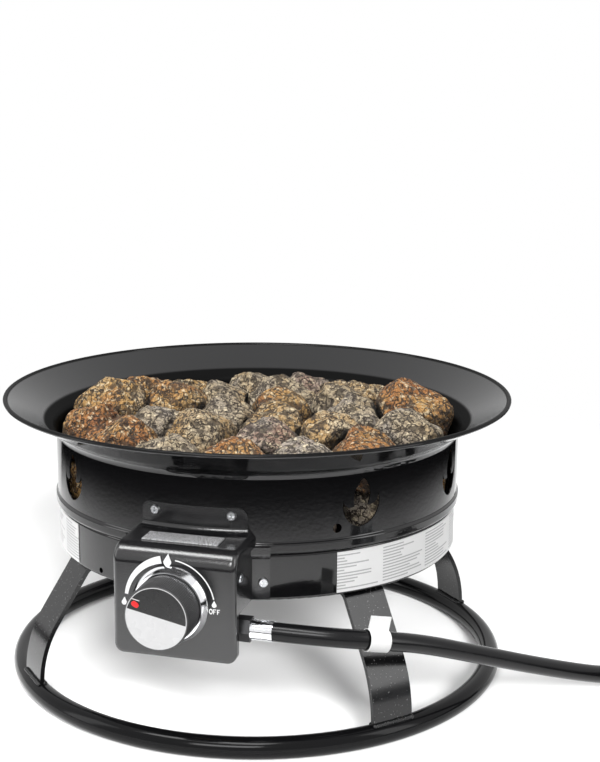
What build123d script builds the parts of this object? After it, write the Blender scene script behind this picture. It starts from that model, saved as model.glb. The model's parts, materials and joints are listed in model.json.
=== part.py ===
from build123d import *
from math import asin, atan2, cos, degrees, dist, pi, radians, sin, sqrt, tan
import os

# Portable propane fire pit: a flared steel bowl of lava stones over a ring burner, on a base pan with
# four bent legs and a tube ring, a control box with one gas knob, and a coiled gas hose with its regulator.
# Frame: origin on the floor under the bowl's axis, +Z up, the control box faces -Y. Millimetres and degrees.
# An azimuth of 0 points to the control box and grows towards +X. Places on the gas line are given as
# distances forward of the bowl's axis, towards the control box.

os.makedirs("parts", exist_ok=True)

# Fits and clearances that all pieces share
running_gap = 0.05
thread_gap = 0.05
seat_gap = 0.1
loose_gap = 0.3
hole_gap = 0.3
floor_gap = 0.2
overrun = 6.0

# Base ring: a bent round tube
ring_reach = 36.5
ring_tube_diameter = 19.0
ring_wall = 1.5
ring_vent_diameter = 4.0

# Legs: flat bar, upright on the ring, leaning in, turned flat under the pan
leg_azimuths = {
    "leg_front_right": 47.0,
    "leg_rear_right": 133.0,
    "leg_rear_left": -133.0,
    "leg_front_left": -47.0,
}
leg_width = 40.0
leg_thickness = 4.0
leg_bend_radius = 103.0
leg_lean = 33.0
leg_corner_radius = 9.0
leg_flange_length = 36.0
leg_bolt_place_share = 0.6
leg_bolt_diameter = 6.0
leg_bolt_spacing = 22.0
leg_bolt_head_flats = 10.0
leg_bolt_head_height = 4.0
leg_nut_height = 5.0

# Base pan: pressed sheet, with its rim turned in to carry the bowl
pan_bottom_z = 124.0
pan_setback = 2.0
pan_height = 41.8
pan_wall = 1.2
pan_corner_radius = 3.0
pan_rim_width = 15.0
pan_sight_hole_diameter = 5.0
pan_sight_hole_height = 6.0
pan_sight_hole_azimuth = -30.6
pan_gas_hole_gap = 1.2

# Fire bowl: floor, beaded foot, upright wall, flared rim and rolled lip in one pressing
bowl_radius = 189.5
bowl_wall = 1.2
bowl_bead_step = 1.7
bowl_bead_height = 10.0
bowl_bead_radius = 2.5
bowl_wall_height = 69.0
bowl_shoulder_radius = 8.0
rim_radius = 237.5
rim_height = 265.0
rim_lip_diameter = 4.0
bowl_screw_count = 6
bowl_screw_first_azimuth = 15.0
bowl_air_hole_diameter = 8.0
bowl_air_hole_azimuth = 37.2
bowl_air_hole_height = 19.0

# Flame-shaped openings round the bowl's wall, as shares of their width and height
flame_count = 8
flame_first_azimuth = 44.0
flame_width = 33.0
flame_height = 42.0
flame_foot_height = 18.0
flame_outline_shares = [
    ((0.00, 0.00), (-0.40, 0.16)),
    ((-0.50, 0.60), (-0.36, 0.42)),
    ((-0.20, 0.44), (-0.19, 0.74)),
    ((0.06, 1.00), (0.27, 0.72)),
    ((0.19, 0.44), (0.40, 0.46)),
    ((0.50, 0.70), (0.42, 0.18)),
]

# Small screws
screw_diameter = 4.0
screw_head_diameter = 8.4
screw_head_height = 2.6
screw_head_taper = 16.0
screw_slot_width = 1.2
screw_slot_length = 5.0
screw_slot_depth = 1.2
screw_end_length = 4.0
small_nut_flats = 7.0
small_nut_height = 3.2

# Blank rating plates on the base pan
plate_thickness = 0.6
plate_height = 36.0
plate_foot_height = 3.0
plate_right_start = 37.5
plate_right_arc = 57.0
plate_left_start = -75.0
plate_left_arc = 33.0

# Gas line: knob, valve and burner inlet share one level axis, a little left of the cover's middle
gas_x = -2.5
gas_z = 137.5

# Control cover: a pressed front with returned edges, a hood and a flange on the bowl's wall
cover_reach = 50.5
cover_half_width = 52.5
cover_bottom_z = 90.0
cover_top_z = 184.5
cover_wall = 1.5
cover_return = 11.0
cover_hood_drop = 11.0
cover_hood_step = 14.0
cover_brow_radius = 15.0
cover_corner_radius = 8.0
cover_edge_radius = 5.0
cover_flange_height = 22.0
cover_flange_half_width = 46.0
cover_flange_corner = 8.0
cover_crease_radius = 5.0
cover_screw_offset = 33.5
cover_screw_end_length = 2.0
cover_screw_height = 15.5
cover_bar_length = 66.0
cover_bar_depth = 20.0
cover_bar_raise = 1.6
cover_bar_setback = 15.5
cover_bar_taper = 25.0

# Side brackets between base pan and control cover, joggled over the bowl's bead
bracket_wall = 1.5
bracket_half_width = 49.5
bracket_setback = 8.0
bracket_bottom_z = 126.5
bracket_top_z = 181.0
bracket_tab_top_z = 173.0
bracket_tab_end = 19.7
bracket_tab_bend = 2.0
bracket_tab_step = 3.5
bracket_screw_azimuth = 18.0
bracket_screw_z = 141.6
side_screw_setback = 20.0
side_screw_z = 158.7

# Valve plate: carries the valve between the brackets
valve_plate_setback = 14.0
valve_plate_wall = 1.5
valve_plate_bottom_z = 127.5
valve_plate_top_z = 173.0
valve_lug_depth = 15.0
valve_lug_height = 22.0
valve_screw_offset = 12.5
valve_screw_depth = 6.0

# Gas valve
valve_pan_gap = 2.5
valve_body_length = 32.0
valve_body_width = 34.0
valve_body_height = 32.0
valve_body_radius = 4.0
valve_bore_diameter = 18.0
valve_bore_wall = 5.0
valve_boss_diameter = 16.0
valve_boss_length = 6.0
valve_outlet_diameter = 6.0
valve_port_depth = 5.0
valve_port_passage_diameter = 6.0
plug_floor = 3.0
plug_end_gap = 0.3
stem_diameter = 8.0
stem_flat = 3.0
stem_setback = 31.0
stem_reach = 23.0
knob_push_travel = 3.0
spring_wire = 0.7
spring_coil_diameter = 5.2
spring_turns = 5
cap_flange_diameter = 31.0
cap_flange_thickness = 2.5
cap_nose_diameter = 16.0
cap_nose_reach = 5.5
panel_nut_flats = 21.0
panel_nut_height = 2.6
orifice_hex_flats = 11.0
orifice_hex_length = 3.0
orifice_shoulder_diameter = 12.0
orifice_shoulder_length = 8.0
orifice_tip_diameter = 6.0
orifice_tip_length = 4.0
orifice_bore_diameter = 1.8

# Knob and bezel
bezel_diameter = 65.0
bezel_crown_diameter = 58.6
bezel_well_diameter = 56.4
bezel_depth = 7.0
bezel_edge = 1.0
bezel_floor = 1.2
knob_diameter = 54.0
knob_front_diameter = 53.2
knob_stand_off = 5.0
knob_length = 28.0
knob_wall = 4.0
knob_front_wall = 7.0
knob_edge_radius = 0.5
knob_boss_diameter = 16.0
knob_push_spare = 1.0
knob_face_diameter = 51.6
knob_face_thickness = 1.0
pointer_length = 6.5
pointer_width = 4.2
pointer_height = 0.7
pointer_radius = 20.1
pointer_angle = 148.5

# Burner and mixer tube
burner_ring_share = 0.4116
burner_tube_diameter = 20.0
burner_wall = 1.2
burner_port_count = 24
burner_port_diameter = 2.0
burner_port_inset = 5.0
burner_port_azimuth = 7.5
burner_post_azimuths = (60.0, 180.0, -60.0)
burner_post_diameter = 10.0
burner_post_foot_diameter = 18.0
burner_post_foot_height = 1.5
mixer_diameter = 16.0
mixer_wall = 1.2
mixer_cup_diameter = 23.0
mixer_cup_setback = 10.0
mixer_cup_length = 27.0
mixer_cone_length = 10.0
mixer_bend_radius = 22.0
mixer_window_length = 15.0
mixer_window_height = 8.0

# Lava stones: a level lower layer round the burner, and an upper layer of rough stones in three rings.
# Shares of the bowl's radius.
stone_gap = 0.3
stone_wall_gap = 3.8
stone_layer_height = 38.0
lower_ring_share = 0.7704
lower_stone_share = 0.19
lower_middle_share = 0.2322
outer_stone_share = 0.195
middle_stone_share = 0.19
middle_ring_share = 0.488
centre_stone_share = 0.185
centre_ring_share = 0.1768
outer_seat_shares = (0.42, 0.54, 0.42, 0.66, 0.88, 0.52, 0.34, 0.42, 0.3, 0.42, 0.52, 0.76, 0.62, 0.44, 0.52)
middle_seat_shares = (0.58, 0.74, 0.6, 0.68, 0.48, 0.6, 0.74, 0.58, 0.68)
centre_seat_shares = (0.6, 0.76, 0.56)
stone_size_shares = (1.0, 0.92, 1.04, 0.96, 1.08, 0.9, 1.0, 0.94, 1.02, 0.9, 0.98, 1.05, 0.94, 1.02, 0.92)
stone_turn = 137.5
stone_facet_tilts = (72.0, 40.0, 14.0, 50.0, 28.0, 60.0, 20.0, 36.0)
stone_facet_shares = (0.8, 0.9, 0.74, 0.86, 0.93, 0.78, 0.88)
lower_facet_tilts = (0.0, 12.0, -6.0, 8.0)
lower_facet_shares = (0.9, 0.93, 0.88, 0.92)
outer_first_azimuth = 8.0
middle_first_azimuth = 20.0
centre_first_azimuth = 40.0

# Gas hose: the inlet elbow under the valve, its flare nut and crimped ferrule
hose_diameter = 16.0
hose_setback = 26.0
hose_z = 113.0
elbow_diameter = 13.0
elbow_corner_diameter = 16.0
elbow_bore_diameter = 7.0
elbow_end_x = 51.0
flare_nut_start_x = 45.0
flare_nut_length = 14.0
flare_nut_flats = 19.0
ferrule_diameter = 17.4
ferrule_length = 18.7
ferrule_stem_diameter = 10.0
ferrule_stem_length = 7.0
ferrule_groove_width = 2.2
ferrule_groove_depth = 0.5
ferrule_groove_count = 3

# Hose route from the ferrule to the coil, chosen point by point: to the right, back from the ferrule, and up
lead_fall = [
    (112, 0, hose_z),
    (150, 14, 108.5),
    (188, 50, 96),
    (232, 97, 72),
    (279, 150, 45),
    (327, 201, 21),
]
lead_on_floor = [(357, 235), (378, 269)]
route_round_share = 0.45
tag_width = 19.0
tag_thickness = 0.5
tag_flag_height = 12.0
tag_gap = 0.9
tag_along = 86.0

# Hose coil: two layers wound in and out again, held by two straps
coil_tie_thickness = 1.1
coil_radius = 103.0
coil_turn_gap = 0.8
coil_layer_gap = 0.7
coil_half_turns = 4
coil_tie_width = 9.0
coil_tie_turns = (-38.0, 38.0)
gap_sample_count = 1400
tail_run = 30.0

# Regulator at the tank end of the hose
regulator_diameter = 72.0
regulator_pot_diameter = 58.0
regulator_flange_height = 3.5
regulator_cover_diameter = 54.0
regulator_cover_height = 10.0
regulator_cover_radius = 4.0
regulator_boss_diameter = 22.0
regulator_boss_reach = 45.0
regulator_boss_cover = 2.0
regulator_screw_count = 6
vent_diameter = 12.0
vent_height = 5.0
vent_offset = 14.0
vent_hole_diameter = 4.0

# Tank connector: a brass nipple and a hand nut that turns on it
nipple_neck_diameter = 16.0
nipple_thread_depth = 8.0
nipple_collar_diameter = 22.0
nipple_collar_length = 4.0
nipple_nose_diameter = 12.0
nipple_nose_length = 28.0
nipple_bore_diameter = 5.0
hand_nut_diameter = 48.0
hand_nut_length = 41.0
hand_nut_back_wall = 5.0
hand_nut_mouth_diameter = 33.0
hand_nut_flute_count = 16
hand_nut_flute_diameter = 6.0
hand_nut_flute_depth = 1.8
hand_nut_edge_radius = 1.5

# Heights and radii that follow from the sizes above
ring_radius = bowl_radius + ring_reach
ring_top_z = ring_tube_diameter
pan_radius = bowl_radius - pan_setback
pan_floor_z = pan_bottom_z + pan_wall
pan_top_z = pan_bottom_z + pan_height
bowl_bottom_z = pan_top_z + floor_gap
bowl_floor_z = bowl_bottom_z + bowl_wall
bowl_shoulder_z = bowl_bottom_z + bowl_wall_height
bead_radius = bowl_radius + bowl_bead_step
bead_top_z = bowl_bottom_z + bowl_bead_height
leg_top_z = pan_bottom_z - seat_gap
leg_flange_z = leg_top_z - leg_thickness
leg_face_radius = ring_radius + leg_thickness / 2
leg_knee_z = ring_top_z + leg_bend_radius * tan(radians(leg_lean / 2))
leg_corner_place = leg_face_radius - (leg_top_z - leg_knee_z) * tan(radians(leg_lean))
leg_bolt_radius = leg_corner_place - leg_flange_length * leg_bolt_place_share
stone_layer_z = bowl_floor_z + stone_gap + stone_layer_height
burner_z = stone_layer_z - burner_tube_diameter / 2
burner_radius = bowl_radius * burner_ring_share
burner_port_radius = burner_radius - burner_port_inset
mixer_cup_front = pan_radius - mixer_cup_setback
cover_front = bowl_radius + cover_reach
cover_bar_front = cover_front - cover_bar_setback
bracket_front = cover_front - bracket_setback
side_screw_front = cover_front - side_screw_setback
valve_plate_front = cover_front - valve_plate_setback
valve_body_rear = pan_radius + valve_pan_gap
valve_body_front = valve_body_rear + valve_body_length
valve_bottom_z = gas_z - valve_body_height / 2
plug_rear = valve_body_rear + valve_bore_wall + plug_end_gap
plug_front = valve_body_front - plug_end_gap
stem_rear = cover_front - stem_setback
stem_front = cover_front + stem_reach
cap_nose_front = cover_front + cap_nose_reach
bezel_front = cover_front + bezel_depth
knob_rear = cover_front + knob_stand_off
knob_front = knob_rear + knob_length
knob_boss_rear = cap_nose_front + knob_push_travel + knob_push_spare
boss_rear = valve_body_rear - valve_boss_length
screw_radius = screw_diameter / 2
screw_hole_radius = screw_radius + hole_gap
hose_radius = hose_diameter / 2
hose_forward = cover_front - hose_setback
hose_floor_z = floor_gap + coil_tie_thickness + loose_gap + hose_radius
lead_start_x = flare_nut_start_x + flare_nut_length + ferrule_length
lead_points = [(lead_start_x, -hose_forward, hose_z)]
lead_points += [(side, back - hose_forward, height) for side, back, height in lead_fall]
lead_points += [(side, back - hose_forward, hose_floor_z) for side, back in lead_on_floor]
coil_pitch = hose_diameter + coil_turn_gap
coil_rise = hose_diameter + coil_layer_gap
coil_top_z = hose_floor_z + coil_rise


def outward(azimuth):
    """Level unit direction away from the bowl's axis."""
    return Vector(sin(radians(azimuth)), -cos(radians(azimuth)), 0)


def sideways(azimuth):
    """Level unit direction along a wall, to the right as seen from outside."""
    return Vector(cos(radians(azimuth)), sin(radians(azimuth)), 0)


def polar_point(radius, azimuth, height=0):
    """Point at a radius from the bowl's axis."""
    return outward(azimuth) * radius + Vector(0, 0, height)


def wall_plane(radius, azimuth, height):
    """Upright plane that faces outwards, with Y up."""
    return Plane(polar_point(radius, azimuth, height), x_dir=sideways(azimuth), z_dir=outward(azimuth))


def section_plane(azimuth):
    """Upright plane through the bowl's axis, with X outwards and Y up."""
    return Plane((0, 0, 0), x_dir=outward(azimuth), z_dir=sideways(azimuth) * -1)


def hexagon_radius(flats):
    """Corner radius of a hexagon of the given size across flats."""
    return flats / 2 / cos(pi / 6)


def ring_points(radius, count, first_azimuth, height=0):
    """Evenly spaced points round the bowl's axis."""
    return [polar_point(radius, first_azimuth + index * 360 / count, height) for index in range(count)]


def place_screw(plane, length):
    """Pan-head screw, its seat on the plane, with a cross recess; used inside a part."""
    with BuildSketch(plane) as head:
        Circle(screw_head_diameter / 2)
    extrude(head.sketch, amount=screw_head_height, taper=screw_head_taper)
    with BuildSketch(plane) as shank:
        Circle(screw_radius)
    extrude(shank.sketch, amount=-length)
    with BuildSketch(plane.offset(screw_head_height)) as recess:
        Rectangle(screw_slot_length, screw_slot_width)
        Rectangle(screw_slot_width, screw_slot_length)
    extrude(recess.sketch, amount=-screw_slot_depth, mode=Mode.SUBTRACT)


def save(piece, name):
    """Label a finished piece and write its file."""
    piece.part.label = name
    export_step(piece.part, f"parts/{name}.step")


# Planes and axis of the gas line: X forward, Y up
valve_side = Plane((gas_x, 0, gas_z), x_dir=(0, -1, 0), z_dir=(-1, 0, 0))
valve_axis = Axis((gas_x, 0, gas_z), (0, -1, 0))


def valve_plane(forward):
    """Upright plane that faces the control box's front, centred on the gas line."""
    return Plane((gas_x, -forward, gas_z), x_dir=(1, 0, 0), z_dir=(0, -1, 0))


# Base ring
with BuildPart() as base_ring:
    with Locations((0, 0, ring_tube_diameter / 2)):
        Torus(ring_radius, ring_tube_diameter / 2)
        Torus(ring_radius, ring_tube_diameter / 2 - ring_wall, mode=Mode.SUBTRACT)
    with BuildSketch(wall_plane(ring_radius, 180, ring_tube_diameter / 2)):
        Circle(ring_vent_diameter / 2)
    extrude(amount=-ring_tube_diameter, mode=Mode.SUBTRACT)
save(base_ring, "base_ring")


def leg_bolt_points(azimuth, height):
    """The two bolt places on a leg's flange."""
    middle = polar_point(leg_bolt_radius, azimuth, height)
    return [middle + sideways(azimuth) * side * leg_bolt_spacing / 2 for side in (-1, 1)]


# Legs
for leg_name, leg_azimuth in leg_azimuths.items():
    with BuildPart() as leg:
        with BuildSketch(section_plane(leg_azimuth)):
            with BuildLine():
                FilletPolyline(
                    (leg_face_radius, ring_top_z - ring_wall),
                    (leg_face_radius, leg_knee_z),
                    (leg_corner_place, leg_top_z),
                    (leg_corner_place - leg_flange_length, leg_top_z),
                    radius=[leg_bend_radius + leg_thickness / 2, leg_corner_radius + leg_thickness],
                )
                offset(amount=leg_thickness, side=Side.LEFT)
            make_face()
        extrude(amount=leg_width / 2, both=True)
        with Locations((0, 0, ring_tube_diameter / 2)):
            Torus(ring_radius, ring_tube_diameter / 2 + seat_gap, mode=Mode.SUBTRACT)
        with Locations(leg_bolt_points(leg_azimuth, leg_flange_z)):
            Cylinder(leg_bolt_diameter / 2 + hole_gap, overrun * 2, mode=Mode.SUBTRACT)
    save(leg, leg_name)

# Leg bolts and nuts
all_bolt_points = [point for azimuth in leg_azimuths.values() for point in leg_bolt_points(azimuth, 0)]
bolt_length = leg_thickness + pan_wall + leg_nut_height + seat_gap * 3 + leg_bolt_diameter / 2
with BuildPart() as leg_bolts:
    with BuildSketch(Plane.XY.offset(leg_flange_z - seat_gap)):
        with Locations(all_bolt_points):
            RegularPolygon(hexagon_radius(leg_bolt_head_flats), 6)
    extrude(amount=-leg_bolt_head_height)
    with BuildSketch(Plane.XY.offset(leg_flange_z - seat_gap)):
        with Locations(all_bolt_points):
            Circle(leg_bolt_diameter / 2)
    extrude(amount=bolt_length)
save(leg_bolts, "leg_bolts")

with BuildPart() as leg_nuts:
    with BuildSketch(Plane.XY.offset(pan_floor_z + seat_gap)):
        with Locations(all_bolt_points):
            RegularPolygon(hexagon_radius(leg_bolt_head_flats), 6)
            Circle(leg_bolt_diameter / 2 + thread_gap, mode=Mode.SUBTRACT)
    extrude(amount=leg_nut_height)
save(leg_nuts, "leg_nuts")

# Base pan
bowl_screw_radius = pan_radius - pan_rim_width / 2
bowl_screw_points = ring_points(bowl_screw_radius, bowl_screw_count, bowl_screw_first_azimuth)
pan_gas_hole_radius = valve_boss_diameter / 2 + pan_gas_hole_gap
with BuildPart() as base_pan:
    with BuildSketch(Plane.XZ):
        with BuildLine():
            FilletPolyline(
                (0, pan_bottom_z),
                (pan_radius, pan_bottom_z),
                (pan_radius, pan_top_z),
                (pan_radius - pan_rim_width, pan_top_z),
                radius=pan_corner_radius,
            )
            offset(amount=pan_wall, side=Side.LEFT)
        make_face()
    revolve(axis=Axis.Z)
    with Locations([point + Vector(0, 0, pan_bottom_z) for point in all_bolt_points]):
        Cylinder(leg_bolt_diameter / 2 + hole_gap, overrun, mode=Mode.SUBTRACT)
    with Locations([point + Vector(0, 0, pan_top_z) for point in bowl_screw_points]):
        Cylinder(screw_hole_radius, overrun, mode=Mode.SUBTRACT)
    with BuildSketch(valve_plane(pan_radius)):
        Circle(pan_gas_hole_radius)
    extrude(amount=overrun, both=True, mode=Mode.SUBTRACT)
    for side in (-1, 1):
        with BuildSketch(wall_plane(pan_radius, side * bracket_screw_azimuth, bracket_screw_z)):
            Circle(screw_radius + thread_gap)
        extrude(amount=overrun, both=True, mode=Mode.SUBTRACT)
    with BuildSketch(wall_plane(pan_radius, pan_sight_hole_azimuth, pan_bottom_z + pan_sight_hole_height)):
        Circle(pan_sight_hole_diameter / 2)
    extrude(amount=overrun, both=True, mode=Mode.SUBTRACT)
save(base_pan, "base_pan")


def flame_point(share):
    """Point of the flame's outline on its wall plane."""
    return (share[0] * flame_width, share[1] * flame_height)


def flame_sketch(azimuth):
    """One flame opening: six arcs, each from a corner through a middle point to the next corner."""
    with BuildSketch(wall_plane(bowl_radius, azimuth, bowl_bottom_z + flame_foot_height)) as flame:
        with BuildLine():
            for index, (corner, middle) in enumerate(flame_outline_shares):
                following = flame_outline_shares[(index + 1) % len(flame_outline_shares)][0]
                ThreePointArc(flame_point(corner), flame_point(middle), flame_point(following))
        make_face()
    return flame.sketch


# Fire bowl
flame_step = (360 - 2 * flame_first_azimuth) / (flame_count - 1)
lip_radius = rim_lip_diameter / 2
cover_screw_azimuth = degrees(atan2(cover_screw_offset, bowl_radius))
cover_screw_z = cover_top_z + cover_screw_height
with BuildPart() as fire_bowl:
    with BuildSketch(Plane.XZ):
        with BuildLine():
            FilletPolyline(
                (0, bowl_bottom_z),
                (bead_radius, bowl_bottom_z),
                (bead_radius, bead_top_z - bowl_bead_step),
                (bowl_radius, bead_top_z),
                (bowl_radius, bowl_shoulder_z),
                (rim_radius - lip_radius, rim_height - lip_radius),
                radius=[bowl_bead_radius, bowl_bead_step, bowl_bead_step, bowl_shoulder_radius],
            )
            offset(amount=bowl_wall, side=Side.LEFT)
        make_face()
        with Locations((rim_radius - lip_radius, rim_height - lip_radius)):
            Circle(lip_radius)
    revolve(axis=Axis.Z)
    for index in range(flame_count):
        flame = flame_sketch(flame_first_azimuth + index * flame_step)
        extrude(flame, amount=overrun, both=True, mode=Mode.SUBTRACT)
    with BuildSketch(wall_plane(bowl_radius, bowl_air_hole_azimuth, bowl_bottom_z + bowl_air_hole_height)):
        Circle(bowl_air_hole_diameter / 2)
    extrude(amount=overrun, both=True, mode=Mode.SUBTRACT)
    for side in (-1, 1):
        with BuildSketch(wall_plane(bowl_radius, side * cover_screw_azimuth, cover_screw_z)):
            Circle(screw_radius + thread_gap)
        extrude(amount=overrun, both=True, mode=Mode.SUBTRACT)
    with Locations([point + Vector(0, 0, bowl_floor_z) for point in bowl_screw_points]):
        Cylinder(screw_hole_radius, overrun, mode=Mode.SUBTRACT)
    with Locations((gas_x, -burner_radius, bowl_floor_z)):
        Cylinder(mixer_diameter / 2 + loose_gap, overrun, mode=Mode.SUBTRACT)
save(fire_bowl, "fire_bowl")

# Bowl screws and nuts, through the bowl's floor and the pan's turned-in rim
bowl_screw_length = bowl_wall + floor_gap + pan_wall + screw_end_length
with BuildPart() as bowl_screws:
    for point in bowl_screw_points:
        place_screw(Plane(point + Vector(0, 0, bowl_floor_z + seat_gap)), bowl_screw_length)
save(bowl_screws, "bowl_screws")

with BuildPart() as bowl_nuts:
    with BuildSketch(Plane.XY.offset(pan_top_z - pan_wall - seat_gap)):
        with Locations(bowl_screw_points):
            RegularPolygon(hexagon_radius(small_nut_flats), 6)
            Circle(screw_radius + thread_gap, mode=Mode.SUBTRACT)
    extrude(amount=-small_nut_height)
save(bowl_nuts, "bowl_nuts")

# Blank rating plates, curved to the base pan
plate_places = {
    "blank_plate_right": (plate_right_start, plate_right_arc),
    "blank_plate_left": (plate_left_start, plate_left_arc),
}
for plate_name, (plate_start, plate_arc) in plate_places.items():
    with BuildPart() as plate:
        with BuildSketch(section_plane(plate_start)):
            with Locations((pan_radius + seat_gap, pan_bottom_z + plate_foot_height)):
                Rectangle(plate_thickness, plate_height, align=(Align.MIN, Align.MIN))
        revolve(axis=Axis.Z, revolution_arc=plate_arc)
    save(plate, plate_name)

# Burner: two pressed half rings, its posts and the mixer tube
with BuildPart() as burner_top:
    with BuildSketch(Plane.XZ):
        with Locations((burner_radius, burner_z)):
            Circle(burner_tube_diameter / 2)
            Circle(burner_tube_diameter / 2 - burner_wall, mode=Mode.SUBTRACT)
        with Locations((burner_radius, burner_z + seat_gap)):
            Rectangle(
                burner_tube_diameter * 2,
                burner_tube_diameter,
                align=(Align.CENTER, Align.MAX),
                mode=Mode.SUBTRACT,
            )
    revolve(axis=Axis.Z)
    with BuildSketch(Plane.XY.offset(burner_z)):
        with Locations(ring_points(burner_port_radius, burner_port_count, burner_port_azimuth)):
            Circle(burner_port_diameter / 2)
    extrude(amount=burner_tube_diameter, mode=Mode.SUBTRACT)
save(burner_top, "burner_top")

with BuildPart() as burner_base:
    with BuildSketch(Plane.XZ):
        with Locations((burner_radius, burner_z)):
            Circle(burner_tube_diameter / 2)
            Circle(burner_tube_diameter / 2 - burner_wall, mode=Mode.SUBTRACT)
            Rectangle(
                burner_tube_diameter * 2,
                burner_tube_diameter,
                align=(Align.CENTER, Align.MIN),
                mode=Mode.SUBTRACT,
            )
    revolve(axis=Axis.Z)
    with BuildSketch(Plane.XY.offset(burner_z)):
        with Locations((gas_x, -burner_radius)):
            Circle(mixer_diameter / 2 - mixer_wall)
    extrude(amount=-burner_tube_diameter, mode=Mode.SUBTRACT)
save(burner_base, "burner_base")

with BuildPart() as burner_posts:
    post_points = [polar_point(burner_radius, azimuth) for azimuth in burner_post_azimuths]
    with BuildSketch(Plane.XY.offset(bowl_floor_z + seat_gap)):
        with Locations(post_points):
            Circle(burner_post_foot_diameter / 2)
    extrude(amount=burner_post_foot_height)
    with BuildSketch(Plane.XY.offset(bowl_floor_z + seat_gap)):
        with Locations(post_points):
            Circle(burner_post_diameter / 2)
    extrude(amount=burner_z - bowl_floor_z - seat_gap)
    with Locations((0, 0, burner_z)):
        Torus(burner_radius, burner_tube_diameter / 2 + seat_gap, mode=Mode.SUBTRACT)
save(burner_posts, "burner_posts")

mixer_cup_rear = mixer_cup_front - mixer_cup_length
mixer_cone_rear = mixer_cup_rear - mixer_cone_length
mixer_radius = mixer_diameter / 2
mixer_cup_radius = mixer_cup_diameter / 2
with BuildPart() as mixer_tube:
    with BuildSketch(valve_side):
        with BuildLine():
            Polyline(
                (mixer_cone_rear, mixer_radius - mixer_wall),
                (mixer_cone_rear, mixer_radius),
                (mixer_cup_rear, mixer_cup_radius),
                (mixer_cup_front, mixer_cup_radius),
                (mixer_cup_front, orifice_shoulder_diameter / 2 + seat_gap),
                (mixer_cup_front - mixer_wall, orifice_shoulder_diameter / 2 + seat_gap),
                (mixer_cup_front - mixer_wall, mixer_cup_radius - mixer_wall),
                (mixer_cup_rear, mixer_cup_radius - mixer_wall),
                close=True,
            )
        make_face()
    revolve(axis=valve_axis)
    with Locations((gas_x, mixer_window_length / 2 - (mixer_cup_front - mixer_wall * 2), gas_z)):
        Box(mixer_cup_diameter * 2, mixer_window_length, mixer_window_height, mode=Mode.SUBTRACT)
    with BuildLine(valve_side) as mixer_path:
        FilletPolyline(
            (mixer_cone_rear, 0),
            (burner_radius, 0),
            (burner_radius, burner_z - gas_z),
            radius=mixer_bend_radius,
        )
    with BuildSketch(valve_plane(mixer_cone_rear)):
        Circle(mixer_radius)
        Circle(mixer_radius - mixer_wall, mode=Mode.SUBTRACT)
    sweep(path=mixer_path.wire())
    with Locations((0, 0, burner_z)):
        Torus(burner_radius, burner_tube_diameter / 2 + seat_gap, mode=Mode.SUBTRACT)
save(mixer_tube, "mixer_tube")

# Gas orifice on the valve's outlet
orifice_hex_rear = boss_rear - orifice_hex_length
orifice_shoulder_rear = orifice_hex_rear - orifice_shoulder_length
orifice_tip_rear = orifice_shoulder_rear - orifice_tip_length
with BuildPart() as gas_orifice:
    with BuildSketch(valve_plane(boss_rear - seat_gap)):
        RegularPolygon(hexagon_radius(orifice_hex_flats), 6)
    extrude(amount=-(orifice_hex_length - seat_gap))
    with BuildSketch(valve_plane(orifice_hex_rear)):
        Circle(orifice_shoulder_diameter / 2)
    extrude(amount=-orifice_shoulder_length)
    with BuildSketch(valve_plane(orifice_shoulder_rear)):
        Circle(orifice_tip_diameter / 2)
    extrude(amount=-orifice_tip_length)
    with BuildSketch(valve_plane(orifice_tip_rear)):
        Circle(orifice_bore_diameter / 2)
    extrude(amount=boss_rear - orifice_tip_rear + overrun, mode=Mode.SUBTRACT)
save(gas_orifice, "gas_orifice")


def drum_envelope():
    """Bowl and pan with clearance, taken out of whatever lies against them; used inside a part."""
    with BuildSketch(Plane.XZ) as envelope:
        with BuildLine():
            Polyline(
                (0, cover_bottom_z),
                (pan_radius + loose_gap, cover_bottom_z),
                (pan_radius + loose_gap, pan_top_z - loose_gap),
                (bead_radius + loose_gap, pan_top_z - loose_gap),
                (bead_radius + loose_gap, bead_top_z + loose_gap),
                (bowl_radius + loose_gap, bead_top_z + loose_gap),
                (bowl_radius + loose_gap, rim_height),
                (0, rim_height),
                close=True,
            )
        make_face()
    revolve(envelope.sketch, axis=Axis.Z, mode=Mode.SUBTRACT)


def cover_block(inset, back_points):
    """The cover's outside drawn in by an inset, down to the points of its back."""
    front = cover_front - inset
    top = cover_top_z - inset
    bottom = cover_bottom_z + inset
    with BuildPart() as block:
        with BuildSketch(side_plane):
            with BuildLine():
                Polyline((front, bottom), (front, top - cover_brow_radius + inset))
                RadiusArc(
                    (front, top - cover_brow_radius + inset),
                    (front - cover_brow_radius + inset, top),
                    -(cover_brow_radius - inset),
                )
                Polyline((front - cover_brow_radius + inset, top), *back_points, (front, bottom))
            make_face()
        extrude(amount=cover_half_width - inset, both=True)
        low_edges = block.edges().filter_by(Axis.Y).group_by(Axis.Z)[0]
        fillet(low_edges, cover_corner_radius - inset)
        front_face = block.faces().sort_by(Axis.Y)[0]
        low_edge = front_face.edges().filter_by(Axis.X).sort_by(Axis.Z)[0]
        fillet(low_edge, cover_edge_radius - inset)
    return block.part


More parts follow.
